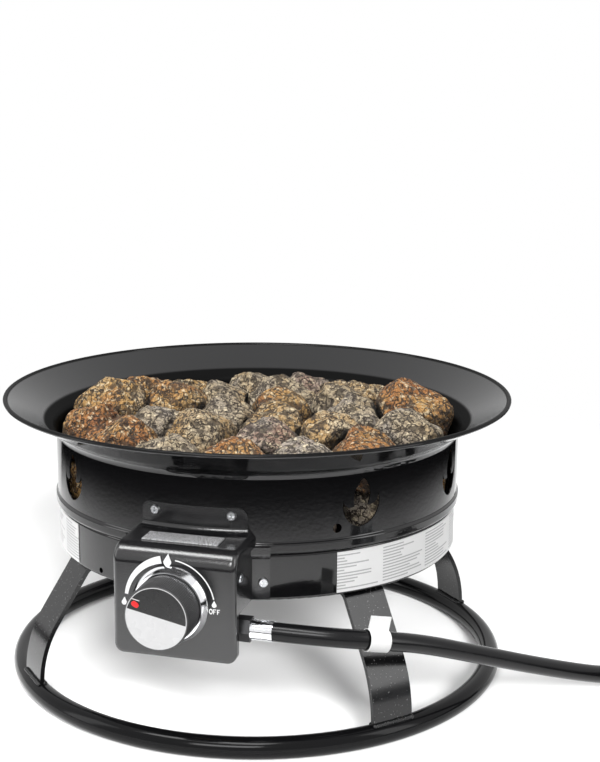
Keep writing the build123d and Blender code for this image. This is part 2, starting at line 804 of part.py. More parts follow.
# Control cover: the outside less the hollow, cut to the drum, with its flange and a raised bar
side_plane = Plane((0, 0, 0), x_dir=(0, -1, 0), z_dir=(-1, 0, 0))
cover_rear = bowl_radius - overrun * 2
cover_back = cover_front - cover_return
cover_step_z = cover_top_z - cover_hood_drop
cover_outside = cover_block(
    0,
    [
        (cover_rear, cover_top_z),
        (cover_rear, cover_step_z),
        (cover_back - cover_hood_step, cover_step_z),
        (cover_back, cover_step_z - cover_hood_step),
        (cover_back, cover_bottom_z),
    ],
)
hollow_rear = cover_rear - overrun
cover_hollow = cover_block(
    cover_wall,
    [(hollow_rear, cover_top_z - cover_wall), (hollow_rear, cover_bottom_z + cover_wall)],
)
flange_radius = bowl_radius + loose_gap
crease_radius = flange_radius + cover_wall + cover_crease_radius
flange_half_arc = degrees(asin(cover_flange_half_width / flange_radius))
with BuildPart() as cover_flange:
    with BuildSketch(section_plane(-flange_half_arc)):
        with BuildLine():
            CenterArc((crease_radius, cover_top_z + cover_crease_radius), cover_crease_radius, 180, 90)
            Polyline(
                (crease_radius, cover_top_z),
                (crease_radius, cover_top_z - cover_wall),
                (flange_radius, cover_top_z - cover_wall),
                (flange_radius, cover_top_z + cover_flange_height),
                (flange_radius + cover_wall, cover_top_z + cover_flange_height),
                (flange_radius + cover_wall, cover_top_z + cover_crease_radius),
            )
        make_face()
    revolve(axis=Axis.Z, revolution_arc=2 * flange_half_arc)
    flange_corners = cover_flange.edges().filter_by(GeomType.LINE).group_by(Axis.Z)[-1]
    fillet(flange_corners, cover_flange_corner)

with BuildPart() as control_cover:
    add(cover_outside)
    add(cover_hollow, mode=Mode.SUBTRACT)
    drum_envelope()
    add(cover_flange.part)
    with BuildSketch(Plane.XY.offset(cover_top_z)):
        with Locations((0, -(cover_bar_front - cover_bar_depth / 2))):
            Rectangle(cover_bar_length, cover_bar_depth)
    extrude(amount=cover_bar_raise, taper=cover_bar_taper)
    with BuildSketch(valve_plane(cover_front)):
        Circle(cap_nose_diameter / 2 + hole_gap)
    extrude(amount=-overrun, mode=Mode.SUBTRACT)
    for side in (-1, 1):
        with BuildSketch(wall_plane(bowl_radius, side * cover_screw_azimuth, cover_screw_z)):
            Circle(screw_hole_radius)
        extrude(amount=overrun, mode=Mode.SUBTRACT)
save(control_cover, "control_cover")

with BuildPart() as cover_screws:
    for side in (-1, 1):
        seat_radius = bowl_radius + loose_gap + cover_wall + seat_gap
        place_screw(
            wall_plane(seat_radius, side * cover_screw_azimuth, cover_screw_z),
            cover_wall + loose_gap + bowl_wall + cover_screw_end_length,
        )
save(cover_screws, "cover_screws")

# Side brackets: an upright cheek, and a tab joggled from the pan's wall over the bowl's bead
tab_start = degrees(atan2(bracket_half_width - bracket_wall, pan_radius))
with BuildPart() as bracket_right:
    with Locations((bracket_half_width, -bracket_front, bracket_bottom_z)):
        Box(
            bracket_wall,
            bracket_front - pan_radius + overrun * 3,
            bracket_top_z - bracket_bottom_z,
            align=(Align.MAX, Align.MIN, Align.MIN),
        )
    drum_envelope()
    with BuildSketch(section_plane(tab_start)):
        with BuildLine():
            FilletPolyline(
                (pan_radius + loose_gap, bracket_bottom_z),
                (pan_radius + loose_gap, pan_top_z - bracket_tab_step),
                (bead_radius + loose_gap, pan_top_z + loose_gap),
                (bead_radius + loose_gap, bracket_tab_top_z),
                radius=bracket_tab_bend,
            )
            offset(amount=bracket_wall, side=Side.RIGHT)
        make_face()
    revolve(axis=Axis.Z, revolution_arc=bracket_tab_end - tab_start)
    with BuildSketch(wall_plane(pan_radius, bracket_screw_azimuth, bracket_screw_z)):
        Circle(screw_hole_radius)
    extrude(amount=overrun, mode=Mode.SUBTRACT)
    with Locations((bracket_half_width, -side_screw_front, side_screw_z)):
        Cylinder(screw_hole_radius, overrun, rotation=(0, 90, 0), mode=Mode.SUBTRACT)
save(bracket_right, "bracket_right")

with BuildPart() as bracket_left:
    mirror(bracket_right.part, about=Plane.YZ)
save(bracket_left, "bracket_left")

with BuildPart() as bracket_screws:
    for side in (-1, 1):
        seat_radius = pan_radius + loose_gap + bracket_wall + seat_gap
        place_screw(
            wall_plane(seat_radius, side * bracket_screw_azimuth, bracket_screw_z),
            bracket_wall + loose_gap + pan_wall + screw_end_length,
        )
save(bracket_screws, "bracket_screws")

# Valve plate with its lugs, and the screws that hold the lugs to the brackets
lug_half_width = bracket_half_width - bracket_wall - loose_gap
with BuildPart() as valve_plate:
    with Locations((0, -valve_plate_front, valve_plate_bottom_z)):
        Box(
            lug_half_width * 2,
            valve_plate_wall,
            valve_plate_top_z - valve_plate_bottom_z,
            align=(Align.CENTER, Align.MIN, Align.MIN),
        )
    for side in (-1, 1):
        lug_align = Align.MAX if side > 0 else Align.MIN
        with Locations((side * lug_half_width, -valve_plate_front, side_screw_z)):
            Box(
                valve_plate_wall,
                valve_lug_depth,
                valve_lug_height,
                align=(lug_align, Align.MIN, Align.CENTER),
            )
        with Locations((side * lug_half_width, -side_screw_front, side_screw_z)):
            Cylinder(screw_radius + thread_gap, overrun, rotation=(0, 90, 0), mode=Mode.SUBTRACT)
    with BuildSketch(valve_plane(valve_plate_front)):
        Circle(cap_nose_diameter / 2 + hole_gap)
        with Locations((-valve_screw_offset, 0), (valve_screw_offset, 0)):
            Circle(screw_hole_radius)
    extrude(amount=-overrun, mode=Mode.SUBTRACT)
save(valve_plate, "valve_plate")

valve_screw_length = valve_plate_front + seat_gap - valve_body_front + valve_screw_depth
with BuildPart() as valve_screws:
    for side in (-1, 1):
        seat = valve_plane(valve_plate_front + seat_gap)
        place_screw(seat.move(Location((side * valve_screw_offset, 0, 0))), valve_screw_length)
save(valve_screws, "valve_screws")

with BuildPart() as side_screws:
    for side in (-1, 1):
        seat = Plane(
            (side * (bracket_half_width + seat_gap), -side_screw_front, side_screw_z),
            x_dir=(0, side, 0),
            z_dir=(side, 0, 0),
        )
        place_screw(seat, bracket_wall + loose_gap + valve_plate_wall + screw_end_length)
save(side_screws, "side_screws")

# Valve body: bored for the plug, with an outlet boss behind and the inlet port below
with BuildPart() as valve_body:
    with BuildSketch(valve_plane(valve_body_rear)):
        RectangleRounded(valve_body_width, valve_body_height, valve_body_radius)
    extrude(amount=valve_body_length)
    with BuildSketch(valve_plane(valve_body_rear)):
        Circle(valve_boss_diameter / 2)
    extrude(amount=-valve_boss_length)
    with BuildSketch(valve_plane(valve_body_front)):
        Circle(valve_bore_diameter / 2)
    extrude(amount=-(valve_body_length - valve_bore_wall), mode=Mode.SUBTRACT)
    with BuildSketch(valve_plane(boss_rear)):
        Circle(valve_outlet_diameter / 2)
    extrude(amount=valve_boss_length + valve_bore_wall, mode=Mode.SUBTRACT)
    with BuildSketch(valve_plane(valve_body_front)):
        with Locations((-valve_screw_offset, 0), (valve_screw_offset, 0)):
            Circle(screw_radius + thread_gap)
    extrude(amount=-(valve_screw_depth + seat_gap), mode=Mode.SUBTRACT)
    with Locations((gas_x, -hose_forward, valve_bottom_z)):
        Cylinder(elbow_diameter / 2 + thread_gap, 2 * valve_port_depth, mode=Mode.SUBTRACT)
        Cylinder(
            valve_port_passage_diameter / 2,
            valve_body_height / 2,
            align=(Align.CENTER, Align.CENTER, Align.MIN),
            mode=Mode.SUBTRACT,
        )
save(valve_body, "valve_body")


def d_section(gap):
    """Round section with one flat on top, widened by the gap; used inside a sketch."""
    Circle(stem_diameter / 2 + gap)
    with Locations((0, stem_flat + gap)):
        Rectangle(stem_diameter * 2, stem_diameter, align=(Align.CENTER, Align.MIN), mode=Mode.SUBTRACT)


# Valve plug: turns in the body, with a flatted hole for the stem and its spring
with BuildPart() as valve_plug:
    with BuildSketch(valve_plane(plug_rear)):
        Circle(valve_bore_diameter / 2 - running_gap)
    extrude(amount=plug_front - plug_rear)
    with BuildSketch(valve_plane(plug_rear + plug_floor)):
        d_section(running_gap)
    extrude(amount=plug_front - plug_rear, mode=Mode.SUBTRACT)
save(valve_plug, "valve_plug")

# Valve cap: closes the body and guides the stem; its threaded nose takes the panel nut
with BuildPart() as valve_cap:
    with BuildSketch(valve_plane(valve_body_front + seat_gap / 2)):
        Circle(cap_flange_diameter / 2)
    extrude(amount=cap_flange_thickness - seat_gap)
    with BuildSketch(valve_plane(valve_body_front + seat_gap / 2)):
        Circle(cap_nose_diameter / 2)
    extrude(amount=cap_nose_front - valve_body_front - seat_gap / 2)
    with BuildSketch(valve_plane(valve_body_front)):
        Circle(stem_diameter / 2 + running_gap)
        with Locations((-valve_screw_offset, 0), (valve_screw_offset, 0)):
            Circle(screw_hole_radius)
    extrude(amount=cap_nose_front, mode=Mode.SUBTRACT)
save(valve_cap, "valve_cap")

with BuildPart() as panel_nut:
    with BuildSketch(valve_plane(cover_front + bezel_floor + seat_gap)):
        RegularPolygon(hexagon_radius(panel_nut_flats), 6)
        Circle(cap_nose_diameter / 2 + thread_gap, mode=Mode.SUBTRACT)
    extrude(amount=panel_nut_height)
save(panel_nut, "panel_nut")

with BuildPart() as valve_stem:
    with BuildSketch(valve_plane(stem_rear)):
        d_section(0)
    extrude(amount=stem_front - stem_rear)
save(valve_stem, "valve_stem")


def biarc(start, start_direction, end, end_direction):
    """Two tangent arcs from one point and direction to another; used inside a line."""
    chord = end - start
    summed = start_direction + end_direction
    bend = 2 * (1 - start_direction.dot(end_direction))
    along = chord.dot(summed)
    reach = (sqrt(along**2 + bend * chord.dot(chord)) - along) / bend
    first = start + start_direction * reach
    second = end - end_direction * reach
    joint = (first + second) / 2
    TangentArc(start, joint, tangent=start_direction)
    TangentArc(joint, end, tangent=(second - first).normalized())


def self_gap(wire, diameter):
    """Least gap of a wound tube to itself, measured on points along its path."""
    length = wire.length
    points = [tuple(wire @ (index / gap_sample_count)) for index in range(gap_sample_count + 1)]
    apart = int(gap_sample_count * pi * diameter / length) + 1
    least = length
    for index, point in enumerate(points):
        for other in points[index + apart :]:
            least = min(least, dist(point, other))
    return least - diameter


# Return spring between plug and stem, wound by quarter turns
spring_radius = spring_coil_diameter / 2
spring_rear = plug_rear + plug_floor + seat_gap + spring_wire / 2
spring_front = stem_rear - seat_gap - spring_wire / 2
spring_quarters = spring_turns * 4
spring_rise = (spring_front - spring_rear) / spring_quarters


def spring_point(quarter):
    """Point and direction of the spring's wire after some quarter turns."""
    angle = quarter * pi / 2
    place = Vector(
        gas_x + spring_radius * cos(angle),
        -(spring_rear + quarter * spring_rise),
        gas_z + spring_radius * sin(angle),
    )
    slope = spring_rise / (spring_radius * pi / 2)
    return place, Vector(-sin(angle), -slope, cos(angle)).normalized()


with BuildLine() as spring_path:
    spring_first, spring_first_way = spring_point(0)
    Line(spring_first - spring_first_way * spring_wire, spring_first)
    for quarter in range(spring_quarters):
        biarc(*spring_point(quarter), *spring_point(quarter + 1))
    spring_last, spring_last_way = spring_point(spring_quarters)
    Line(spring_last, spring_last + spring_last_way * spring_wire)
with BuildPart() as valve_spring:
    with BuildSketch(Plane(spring_path.wire() @ 0, z_dir=spring_first_way)):
        Circle(spring_wire / 2)
    sweep(path=spring_path.wire())
save(valve_spring, "valve_spring")
print("valve spring gap to itself", round(self_gap(spring_path.wire(), spring_wire), 2))

# Bezel: a dished ring with a well for the knob
with BuildPart() as knob_bezel:
    with BuildSketch(valve_side):
        with BuildLine():
            Polyline(
                (cover_front, cap_nose_diameter / 2 + hole_gap),
                (cover_front, bezel_diameter / 2),
                (cover_front + bezel_edge, bezel_diameter / 2),
                (bezel_front, bezel_crown_diameter / 2),
                (bezel_front, bezel_well_diameter / 2),
                (cover_front + bezel_floor, bezel_well_diameter / 2),
                (cover_front + bezel_floor, cap_nose_diameter / 2 + hole_gap),
                close=True,
            )
        make_face()
    revolve(axis=valve_axis)
save(knob_bezel, "knob_bezel")

# Knob: a hollow cap with a flatted boss on the stem and a sunk face
knob_face_radius = knob_face_diameter / 2
with BuildPart() as knob:
    with BuildSketch(valve_side):
        with BuildLine():
            Polyline(
                (knob_rear, knob_diameter / 2 - knob_wall),
                (knob_rear, knob_diameter / 2),
                (knob_front, knob_front_diameter / 2),
                (knob_front, knob_face_radius),
                (knob_front - knob_face_thickness, knob_face_radius),
                (knob_front - knob_face_thickness, 0),
                (knob_boss_rear, 0),
                (knob_boss_rear, knob_boss_diameter / 2),
                (knob_front - knob_front_wall, knob_boss_diameter / 2),
                (knob_front - knob_front_wall, knob_diameter / 2 - knob_wall),
                close=True,
            )
        make_face()
    revolve(axis=valve_axis)
    rim_edges = knob.edges().filter_by(GeomType.CIRCLE).filter_by(
        lambda edge: abs(edge.radius - knob_front_diameter / 2) < running_gap
    )
    fillet(rim_edges, knob_edge_radius)
    with BuildSketch(valve_plane(knob_boss_rear)):
        d_section(thread_gap)
    extrude(amount=stem_front + thread_gap - knob_boss_rear, mode=Mode.SUBTRACT)
save(knob, "knob")

with BuildPart() as knob_face:
    with BuildSketch(valve_plane(knob_front - knob_face_thickness + thread_gap)):
        Circle(knob_face_radius - thread_gap)
    extrude(amount=knob_face_thickness - thread_gap)
save(knob_face, "knob_face")

with BuildPart() as knob_pointer:
    with BuildSketch(valve_plane(knob_front + thread_gap)):
        with PolarLocations(pointer_radius, 1, start_angle=pointer_angle):
            SlotOverall(pointer_length, pointer_width)
    extrude(amount=pointer_height)
save(knob_pointer, "knob_pointer")

# Inlet elbow, flare nut and crimped ferrule


def hose_plane(distance):
    """Upright plane across the hose's first stretch."""
    return Plane((distance, -hose_forward, hose_z), x_dir=(0, 1, 0), z_dir=(1, 0, 0))


with BuildPart() as inlet_elbow:
    with Locations((gas_x, -hose_forward, hose_z)):
        Sphere(elbow_corner_diameter / 2)
        Cylinder(
            elbow_diameter / 2,
            valve_bottom_z + valve_port_depth - seat_gap - hose_z,
            align=(Align.CENTER, Align.CENTER, Align.MIN),
        )
    with BuildSketch(hose_plane(gas_x)):
        Circle(elbow_diameter / 2)
    extrude(amount=elbow_end_x - gas_x)
    with BuildSketch(hose_plane(gas_x)):
        Circle(elbow_bore_diameter / 2)
    extrude(amount=elbow_end_x - gas_x + overrun, mode=Mode.SUBTRACT)
    with Locations((gas_x, -hose_forward, hose_z)):
        Cylinder(
            elbow_bore_diameter / 2,
            valve_body_height,
            align=(Align.CENTER, Align.CENTER, Align.MIN),
            mode=Mode.SUBTRACT,
        )
save(inlet_elbow, "inlet_elbow")

with BuildPart() as flare_nut:
    with BuildSketch(hose_plane(flare_nut_start_x)):
        RegularPolygon(hexagon_radius(flare_nut_flats), 6)
        Circle(elbow_diameter / 2 + thread_gap, mode=Mode.SUBTRACT)
    extrude(amount=flare_nut_length - seat_gap)
save(flare_nut, "flare_nut")


def crimped_ferrule(start, way):
    """Ferrule from a hose end outwards, with crimp grooves and a stem; used inside a part."""
    with BuildSketch(Plane(start, z_dir=way)) as sleeve:
        Circle(ferrule_diameter / 2)
    extrude(sleeve.sketch, amount=ferrule_length - seat_gap)
    with BuildSketch(Plane(start + way * (ferrule_length - seat_gap), z_dir=way)) as stem:
        Circle(ferrule_stem_diameter / 2)
    extrude(stem.sketch, amount=ferrule_stem_length)
    groove_step = ferrule_length / (ferrule_groove_count + 1)
    for index in range(ferrule_groove_count):
        with BuildSketch(Plane(start + way * (index + 1) * groove_step, z_dir=way)) as groove:
            Circle(ferrule_diameter / 2 + overrun)
            Circle(ferrule_diameter / 2 - ferrule_groove_depth, mode=Mode.SUBTRACT)
        extrude(groove.sketch, amount=ferrule_groove_width / 2, both=True, mode=Mode.SUBTRACT)


lead_start = Vector(lead_points[0])
with BuildPart() as inlet_ferrule:
    crimped_ferrule(lead_start, Vector(-1, 0, 0))
save(inlet_ferrule, "inlet_ferrule")


def route_radii(points):
    """Arc radius at each inner point of a route: as large as its two runs allow."""
    radii = []
    for before, here, after in zip(points, points[1:], points[2:]):
        arriving = Vector(here) - Vector(before)
        leaving = Vector(after) - Vector(here)
        half_turn = radians(arriving.get_angle(leaving)) / 2
        radii.append(route_round_share * min(arriving.length, leaving.length) / tan(half_turn))
    return radii


def report_tube(name, piece, wire):
    """Print how a tube's volume compares with its section times its length."""
    section = pi * hose_radius**2
    share = piece.part.volume / section / wire.length
    print(name, "length", round(wire.length, 1), "volume share", round(share, 4))


# Hose from the ferrule to the coil
lead_radii = route_radii(lead_points)
print("hose lead radii", [round(radius) for radius in lead_radii])
with BuildLine() as lead_path:
    FilletPolyline(*lead_points, radius=lead_radii)
with BuildPart() as hose_lead:
    with BuildSketch(Plane(lead_start, z_dir=(1, 0, 0))):
        Circle(hose_radius)
    sweep(path=lead_path.wire())
save(hose_lead, "hose_lead")
report_tube("hose lead", hose_lead, lead_path.wire())

# Blank tag round the hose
tag_place = lead_path.wire().position_at(tag_along, PositionMode.LENGTH)
tag_way = lead_path.wire().tangent_at(tag_along, PositionMode.LENGTH)
tag_level = tag_way.cross(Vector(0, 0, 1)).normalized()
tag_plane = Plane(tag_place, x_dir=tag_level, z_dir=tag_way * -1)
tag_radius = hose_radius + tag_gap
with BuildPart() as hose_tag:
    with BuildSketch(tag_plane):
        Circle(tag_radius + tag_thickness)
        with Locations((0, tag_radius)):
            Rectangle(tag_thickness * 2, tag_flag_height, align=(Align.CENTER, Align.MIN))
        Circle(tag_radius, mode=Mode.SUBTRACT)
    extrude(amount=tag_width / 2, both=True)
save(hose_tag, "hose_tag")

# Hose coil: half turns in, one climbing half turn, half turns out
coil_start = Vector(lead_points[-1])
coil_way = (coil_start - Vector(lead_points[-2])).normalized()
coil_side = coil_way.cross(Vector(0, 0, 1))
coil_climb_radius = coil_radius - coil_half_turns * coil_pitch / 2
coil_radii_in = [coil_radius - index * coil_pitch / 2 for index in range(coil_half_turns)]
with BuildLine() as coil_path:
    point = coil_start + coil_way * hose_diameter
    Line(coil_start, point)
    way = coil_way
    side_way = coil_side
    for radius in coil_radii_in:
        following = point + side_way * 2 * radius
        TangentArc(point, following, tangent=way)
        point = following
        way = way * -1
        side_way = side_way * -1
    middle = point + side_way * coil_climb_radius + way * coil_climb_radius + Vector(0, 0, coil_rise / 2)
    climb_slope = 2 * coil_rise / (pi * coil_climb_radius)
    middle_way = (side_way + Vector(0, 0, climb_slope)).normalized()
    following = point + side_way * 2 * coil_climb_radius + Vector(0, 0, coil_rise)
    biarc(point, way, middle, middle_way)
    biarc(middle, middle_way, following, way * -1)
    point = following
    way = way * -1
    side_way = side_way * -1
    for radius in reversed(coil_radii_in):
        following = point + side_way * 2 * radius
        TangentArc(point, following, tangent=way)
        point = following
        way = way * -1
        side_way = side_way * -1
    coil_end = point + way * hose_diameter
    Line(point, coil_end)
    coil_end_way = way
with BuildPart() as hose_coil:
    with BuildSketch(Plane(coil_start, z_dir=coil_way)):
        Circle(hose_radius)
    sweep(path=coil_path.wire())
save(hose_coil, "hose_coil")
report_tube("hose coil", hose_coil, coil_path.wire())
print("hose coil gap to itself", round(self_gap(coil_path.wire(), hose_diameter), 2))

# Straps round the coil, on the side where both layers lie on one centre
strap_centre = coil_start + coil_way * hose_diameter + coil_side * coil_radius
strap_radius = coil_radius - coil_pitch
strap_width = 2 * coil_pitch + hose_diameter + 2 * loose_gap
strap_height = coil_rise + hose_diameter + 2 * loose_gap
with BuildPart() as coil_straps:
    for turn in coil_tie_turns:
        strap_out = coil_way.rotate(Axis.Z, turn)
        strap_middle = strap_centre + strap_out * strap_radius + Vector(0, 0, coil_rise / 2)
        with BuildSketch(Plane(strap_middle, x_dir=strap_out, z_dir=strap_out.cross(Vector(0, 0, 1)))):
            RectangleRounded(
                strap_width + 2 * coil_tie_thickness,
                strap_height + 2 * coil_tie_thickness,
                hose_radius + loose_gap + coil_tie_thickness,
            )
            RectangleRounded(strap_width, strap_height, hose_radius + loose_gap, mode=Mode.SUBTRACT)
        extrude(amount=coil_tie_width / 2, both=True)
save(coil_straps, "coil_straps")

# Hose from the coil to the regulator
line_way = Vector(0, -1, 0)
tail_turn = coil_end_way.get_signed_angle(line_way, Vector(0, 0, 1)) / 2
tail_middle_way = coil_end_way.rotate(Axis.Z, tail_turn)
tail_points = [coil_end]
for run_way in (coil_end_way, tail_middle_way, line_way):
    tail_points.append(tail_points[-1] + run_way * tail_run)
tail_radii = route_radii(tail_points)
print("hose tail radii", [round(radius) for radius in tail_radii])
with BuildLine() as tail_path:
    FilletPolyline(*tail_points, radius=tail_radii)
with BuildPart() as hose_tail:
    with BuildSketch(Plane(coil_end, z_dir=coil_end_way)):
        Circle(hose_radius)
    sweep(path=tail_path.wire())
save(hose_tail, "hose_tail")
report_tube("hose tail", hose_tail, tail_path.wire())
hose_length = lead_path.wire().length + coil_path.wire().length + tail_path.wire().length
print("hose length", round(hose_length))

# Regulator: a pot with two bosses on the hose's line, under a screwed cover with a vent
hose_end = tail_points[-1]


def line_plane(distance):
    """Upright plane across the line from the hose's end to the tank."""
    return Plane(hose_end + line_way * distance, x_dir=(0, 0, 1), z_dir=line_way)


with BuildPart() as outlet_ferrule:
    crimped_ferrule(hose_end, line_way)
save(outlet_ferrule, "outlet_ferrule")

boss_start = ferrule_length
boss_end = boss_start + 2 * regulator_boss_reach
regulator_middle = hose_end + line_way * (boss_start + regulator_boss_reach)
pot_top_z = coil_top_z + regulator_boss_diameter / 2 + regulator_boss_cover
flange_top_z = pot_top_z + regulator_flange_height
cover_base_z = flange_top_z + seat_gap
cover_rim_z = cover_base_z + regulator_flange_height
regulator_screw_radius = (regulator_cover_diameter + regulator_diameter) / 4


def level_plane(height):
    """Level plane on the regulator's middle, with X along the hose's line."""
    return Plane((regulator_middle.X, regulator_middle.Y, height), x_dir=line_way, z_dir=(0, 0, 1))


with BuildPart() as regulator_body:
    with BuildSketch(level_plane(floor_gap)):
        Circle(regulator_pot_diameter / 2)
    extrude(amount=pot_top_z - floor_gap)
    with BuildSketch(level_plane(pot_top_z)):
        Circle(regulator_diameter / 2)
    extrude(amount=regulator_flange_height)
    with BuildSketch(line_plane(boss_start)):
        Circle(regulator_boss_diameter / 2)
    extrude(amount=2 * regulator_boss_reach)
    with BuildSketch(line_plane(boss_start)):
        Circle(ferrule_stem_diameter / 2 + thread_gap)
    extrude(amount=ferrule_stem_length, mode=Mode.SUBTRACT)
    with BuildSketch(line_plane(boss_end)):
        Circle(nipple_neck_diameter / 2 + thread_gap)
    extrude(amount=-nipple_thread_depth, mode=Mode.SUBTRACT)
    with BuildSketch(level_plane(flange_top_z)):
        with PolarLocations(regulator_screw_radius, regulator_screw_count):
            Circle(screw_radius + thread_gap)
    extrude(amount=-regulator_flange_height, mode=Mode.SUBTRACT)
save(regulator_body, "regulator_body")

with BuildPart() as regulator_cover:
    with BuildSketch(level_plane(cover_base_z)):
        Circle(regulator_diameter / 2)
    extrude(amount=regulator_flange_height)
    with BuildSketch(level_plane(cover_rim_z)):
        Circle(regulator_cover_diameter / 2)
    extrude(amount=regulator_cover_height)
    fillet(regulator_cover.faces().sort_by(Axis.Z)[-1].edges(), regulator_cover_radius)
    with BuildSketch(level_plane(cover_rim_z)):
        with PolarLocations(regulator_screw_radius, regulator_screw_count):
            Circle(screw_hole_radius)
    extrude(amount=-regulator_flange_height * 2, mode=Mode.SUBTRACT)
save(regulator_cover, "regulator_cover")

with BuildPart() as regulator_screws:
    for index in range(regulator_screw_count):
        arm = line_way.rotate(Axis.Z, index * 360 / regulator_screw_count) * regulator_screw_radius
        seat = Vector(regulator_middle.X, regulator_middle.Y, cover_rim_z + seat_gap) + arm
        place_screw(Plane(seat), 2 * regulator_flange_height)
save(regulator_screws, "regulator_screws")

with BuildPart() as regulator_vent:
    with BuildSketch(level_plane(cover_rim_z + regulator_cover_height + seat_gap)):
        with Locations((vent_offset, 0)):
            Circle(vent_diameter / 2)
            Circle(vent_hole_diameter / 2, mode=Mode.SUBTRACT)
    extrude(amount=vent_height)
save(regulator_vent, "regulator_vent")

# Tank connector
nut_start = boss_end + loose_gap
collar_start = nut_start + hand_nut_back_wall + loose_gap
nose_start = collar_start + nipple_collar_length
with BuildPart() as connector_nipple:
    with BuildSketch(line_plane(boss_end - nipple_thread_depth + seat_gap)):
        Circle(nipple_neck_diameter / 2)
    extrude(amount=collar_start - boss_end + nipple_thread_depth - seat_gap)
    with BuildSketch(line_plane(collar_start)):
        Circle(nipple_collar_diameter / 2)
    extrude(amount=nipple_collar_length)
    with BuildSketch(line_plane(nose_start)):
        Circle(nipple_nose_diameter / 2)
    extrude(amount=nipple_nose_length)
    with BuildSketch(line_plane(boss_end - nipple_thread_depth)):
        Circle(nipple_bore_diameter / 2)
    extrude(amount=boss_end, mode=Mode.SUBTRACT)
save(connector_nipple, "connector_nipple")

flute_centre = hand_nut_diameter / 2 + hand_nut_flute_diameter / 2 - hand_nut_flute_depth
with BuildPart() as hand_nut:
    with BuildSketch(line_plane(nut_start)):
        Circle(hand_nut_diameter / 2)
    extrude(amount=hand_nut_length)
    fillet(hand_nut.edges().filter_by(GeomType.CIRCLE), hand_nut_edge_radius)
    with BuildSketch(line_plane(nut_start)):
        with PolarLocations(flute_centre, hand_nut_flute_count):
            Circle(hand_nut_flute_diameter / 2)
    extrude(amount=hand_nut_length, mode=Mode.SUBTRACT)
    with BuildSketch(line_plane(nut_start + hand_nut_back_wall)):
        Circle(hand_nut_mouth_diameter / 2)
    extrude(amount=hand_nut_length, mode=Mode.SUBTRACT)
    with BuildSketch(line_plane(nut_start)):
        Circle(nipple_neck_diameter / 2 + running_gap)
    extrude(amount=hand_nut_length, mode=Mode.SUBTRACT)
save(hand_nut, "hand_nut")
print("tank line way", tuple(round(value, 6) for value in line_way))
print("nipple nose from", tuple(round(value, 4) for value in hose_end + line_way * nose_start))
print("tank line boss end", tuple(round(value, 4) for value in hose_end + line_way * boss_end))


def lower_stone(radius, turn):
    """Stone of the lower layer, level below and above, with facets round its sides."""
    middle = Vector(0, 0, stone_layer_height / 2)
    with BuildPart() as lump:
        with Locations(middle):
            Sphere(radius)
        split(bisect_by=Plane.XY, keep=Keep.TOP)
        split(bisect_by=Plane.XY.offset(stone_layer_height), keep=Keep.BOTTOM)
        for index, (tilt, share) in enumerate(zip(lower_facet_tilts, lower_facet_shares)):
            facet = stone_facet(turn + index * 360 / len(lower_facet_tilts), tilt)
            split(bisect_by=Plane(middle + facet * radius * share, z_dir=facet), keep=Keep.BOTTOM)
    return lump.part


def upper_balls(ring, radius, seat_shares, first_azimuth):
    """Middles and radii of the balls that a ring's upper stones are cut from."""
    balls = []
    for index, seat_share in enumerate(seat_shares):
        size = radius * stone_size_shares[index % len(stone_size_shares)]
        azimuth = first_azimuth + index * 360 / len(seat_shares)
        height = stone_layer_z + stone_gap + size * seat_share
        balls.append((polar_point(ring + radius - size, azimuth, height), size))
    return balls


def upper_stone(ball, number):
    """Stone of the upper layer: level below, flat against its neighbours, hewn above."""
    middle, radius = ball
    with BuildPart() as lump:
        with Locations(middle):
            Sphere(radius)
        split(bisect_by=Plane.XY.offset(stone_layer_z + stone_gap), keep=Keep.TOP)
        for other_middle, other_radius in stone_balls:
            between = other_middle - middle
            if 0 < between.length < radius + other_radius + stone_gap:
                way = between.normalized()
                halfway = (between.length + (radius**2 - other_radius**2) / between.length) / 2
                meeting = middle + way * (halfway - stone_gap / 2)
                split(bisect_by=Plane(meeting, z_dir=way), keep=Keep.BOTTOM)
        for index, tilt in enumerate(stone_facet_tilts):
            share = stone_facet_shares[(number + index) % len(stone_facet_shares)]
            facet = stone_facet((number * len(stone_facet_tilts) + index) * stone_turn, tilt)
            split(bisect_by=Plane(middle + facet * radius * share, z_dir=facet), keep=Keep.BOTTOM)
    return lump.part


def stone_facet(azimuth, tilt):
    """Direction that a stone's facet looks to."""
    return outward(azimuth) * cos(radians(tilt)) + Vector(0, 0, sin(radians(tilt)))


def stone_count(ring, radius):
    """How many stones fit round a ring."""
    return int(pi / asin((radius + stone_gap) / ring))


# Lava stones
lower_ring_radius = bowl_radius * lower_ring_share
lower_stone_radius = bowl_radius * lower_stone_share
lower_middle_radius = bowl_radius * lower_middle_share
outer_stone_radius = bowl_radius * outer_stone_share
middle_stone_radius = bowl_radius * middle_stone_share
centre_stone_radius = bowl_radius * centre_stone_share
centre_ring_radius = bowl_radius * centre_ring_share
lower_count = stone_count(lower_ring_radius, lower_stone_radius)
lower_places = ring_points(lower_ring_radius, lower_count, 0, bowl_floor_z + stone_gap)
lower_stones = [lower_stone(lower_middle_radius, 0).moved(Location((0, 0, bowl_floor_z + stone_gap)))]
for index, place in enumerate(lower_places):
    lower_stones.append(lower_stone(lower_stone_radius, index * stone_turn).moved(Location(place)))
with BuildPart() as lava_stones_lower:
    add(lower_stones)
save(lava_stones_lower, "lava_stones_lower")

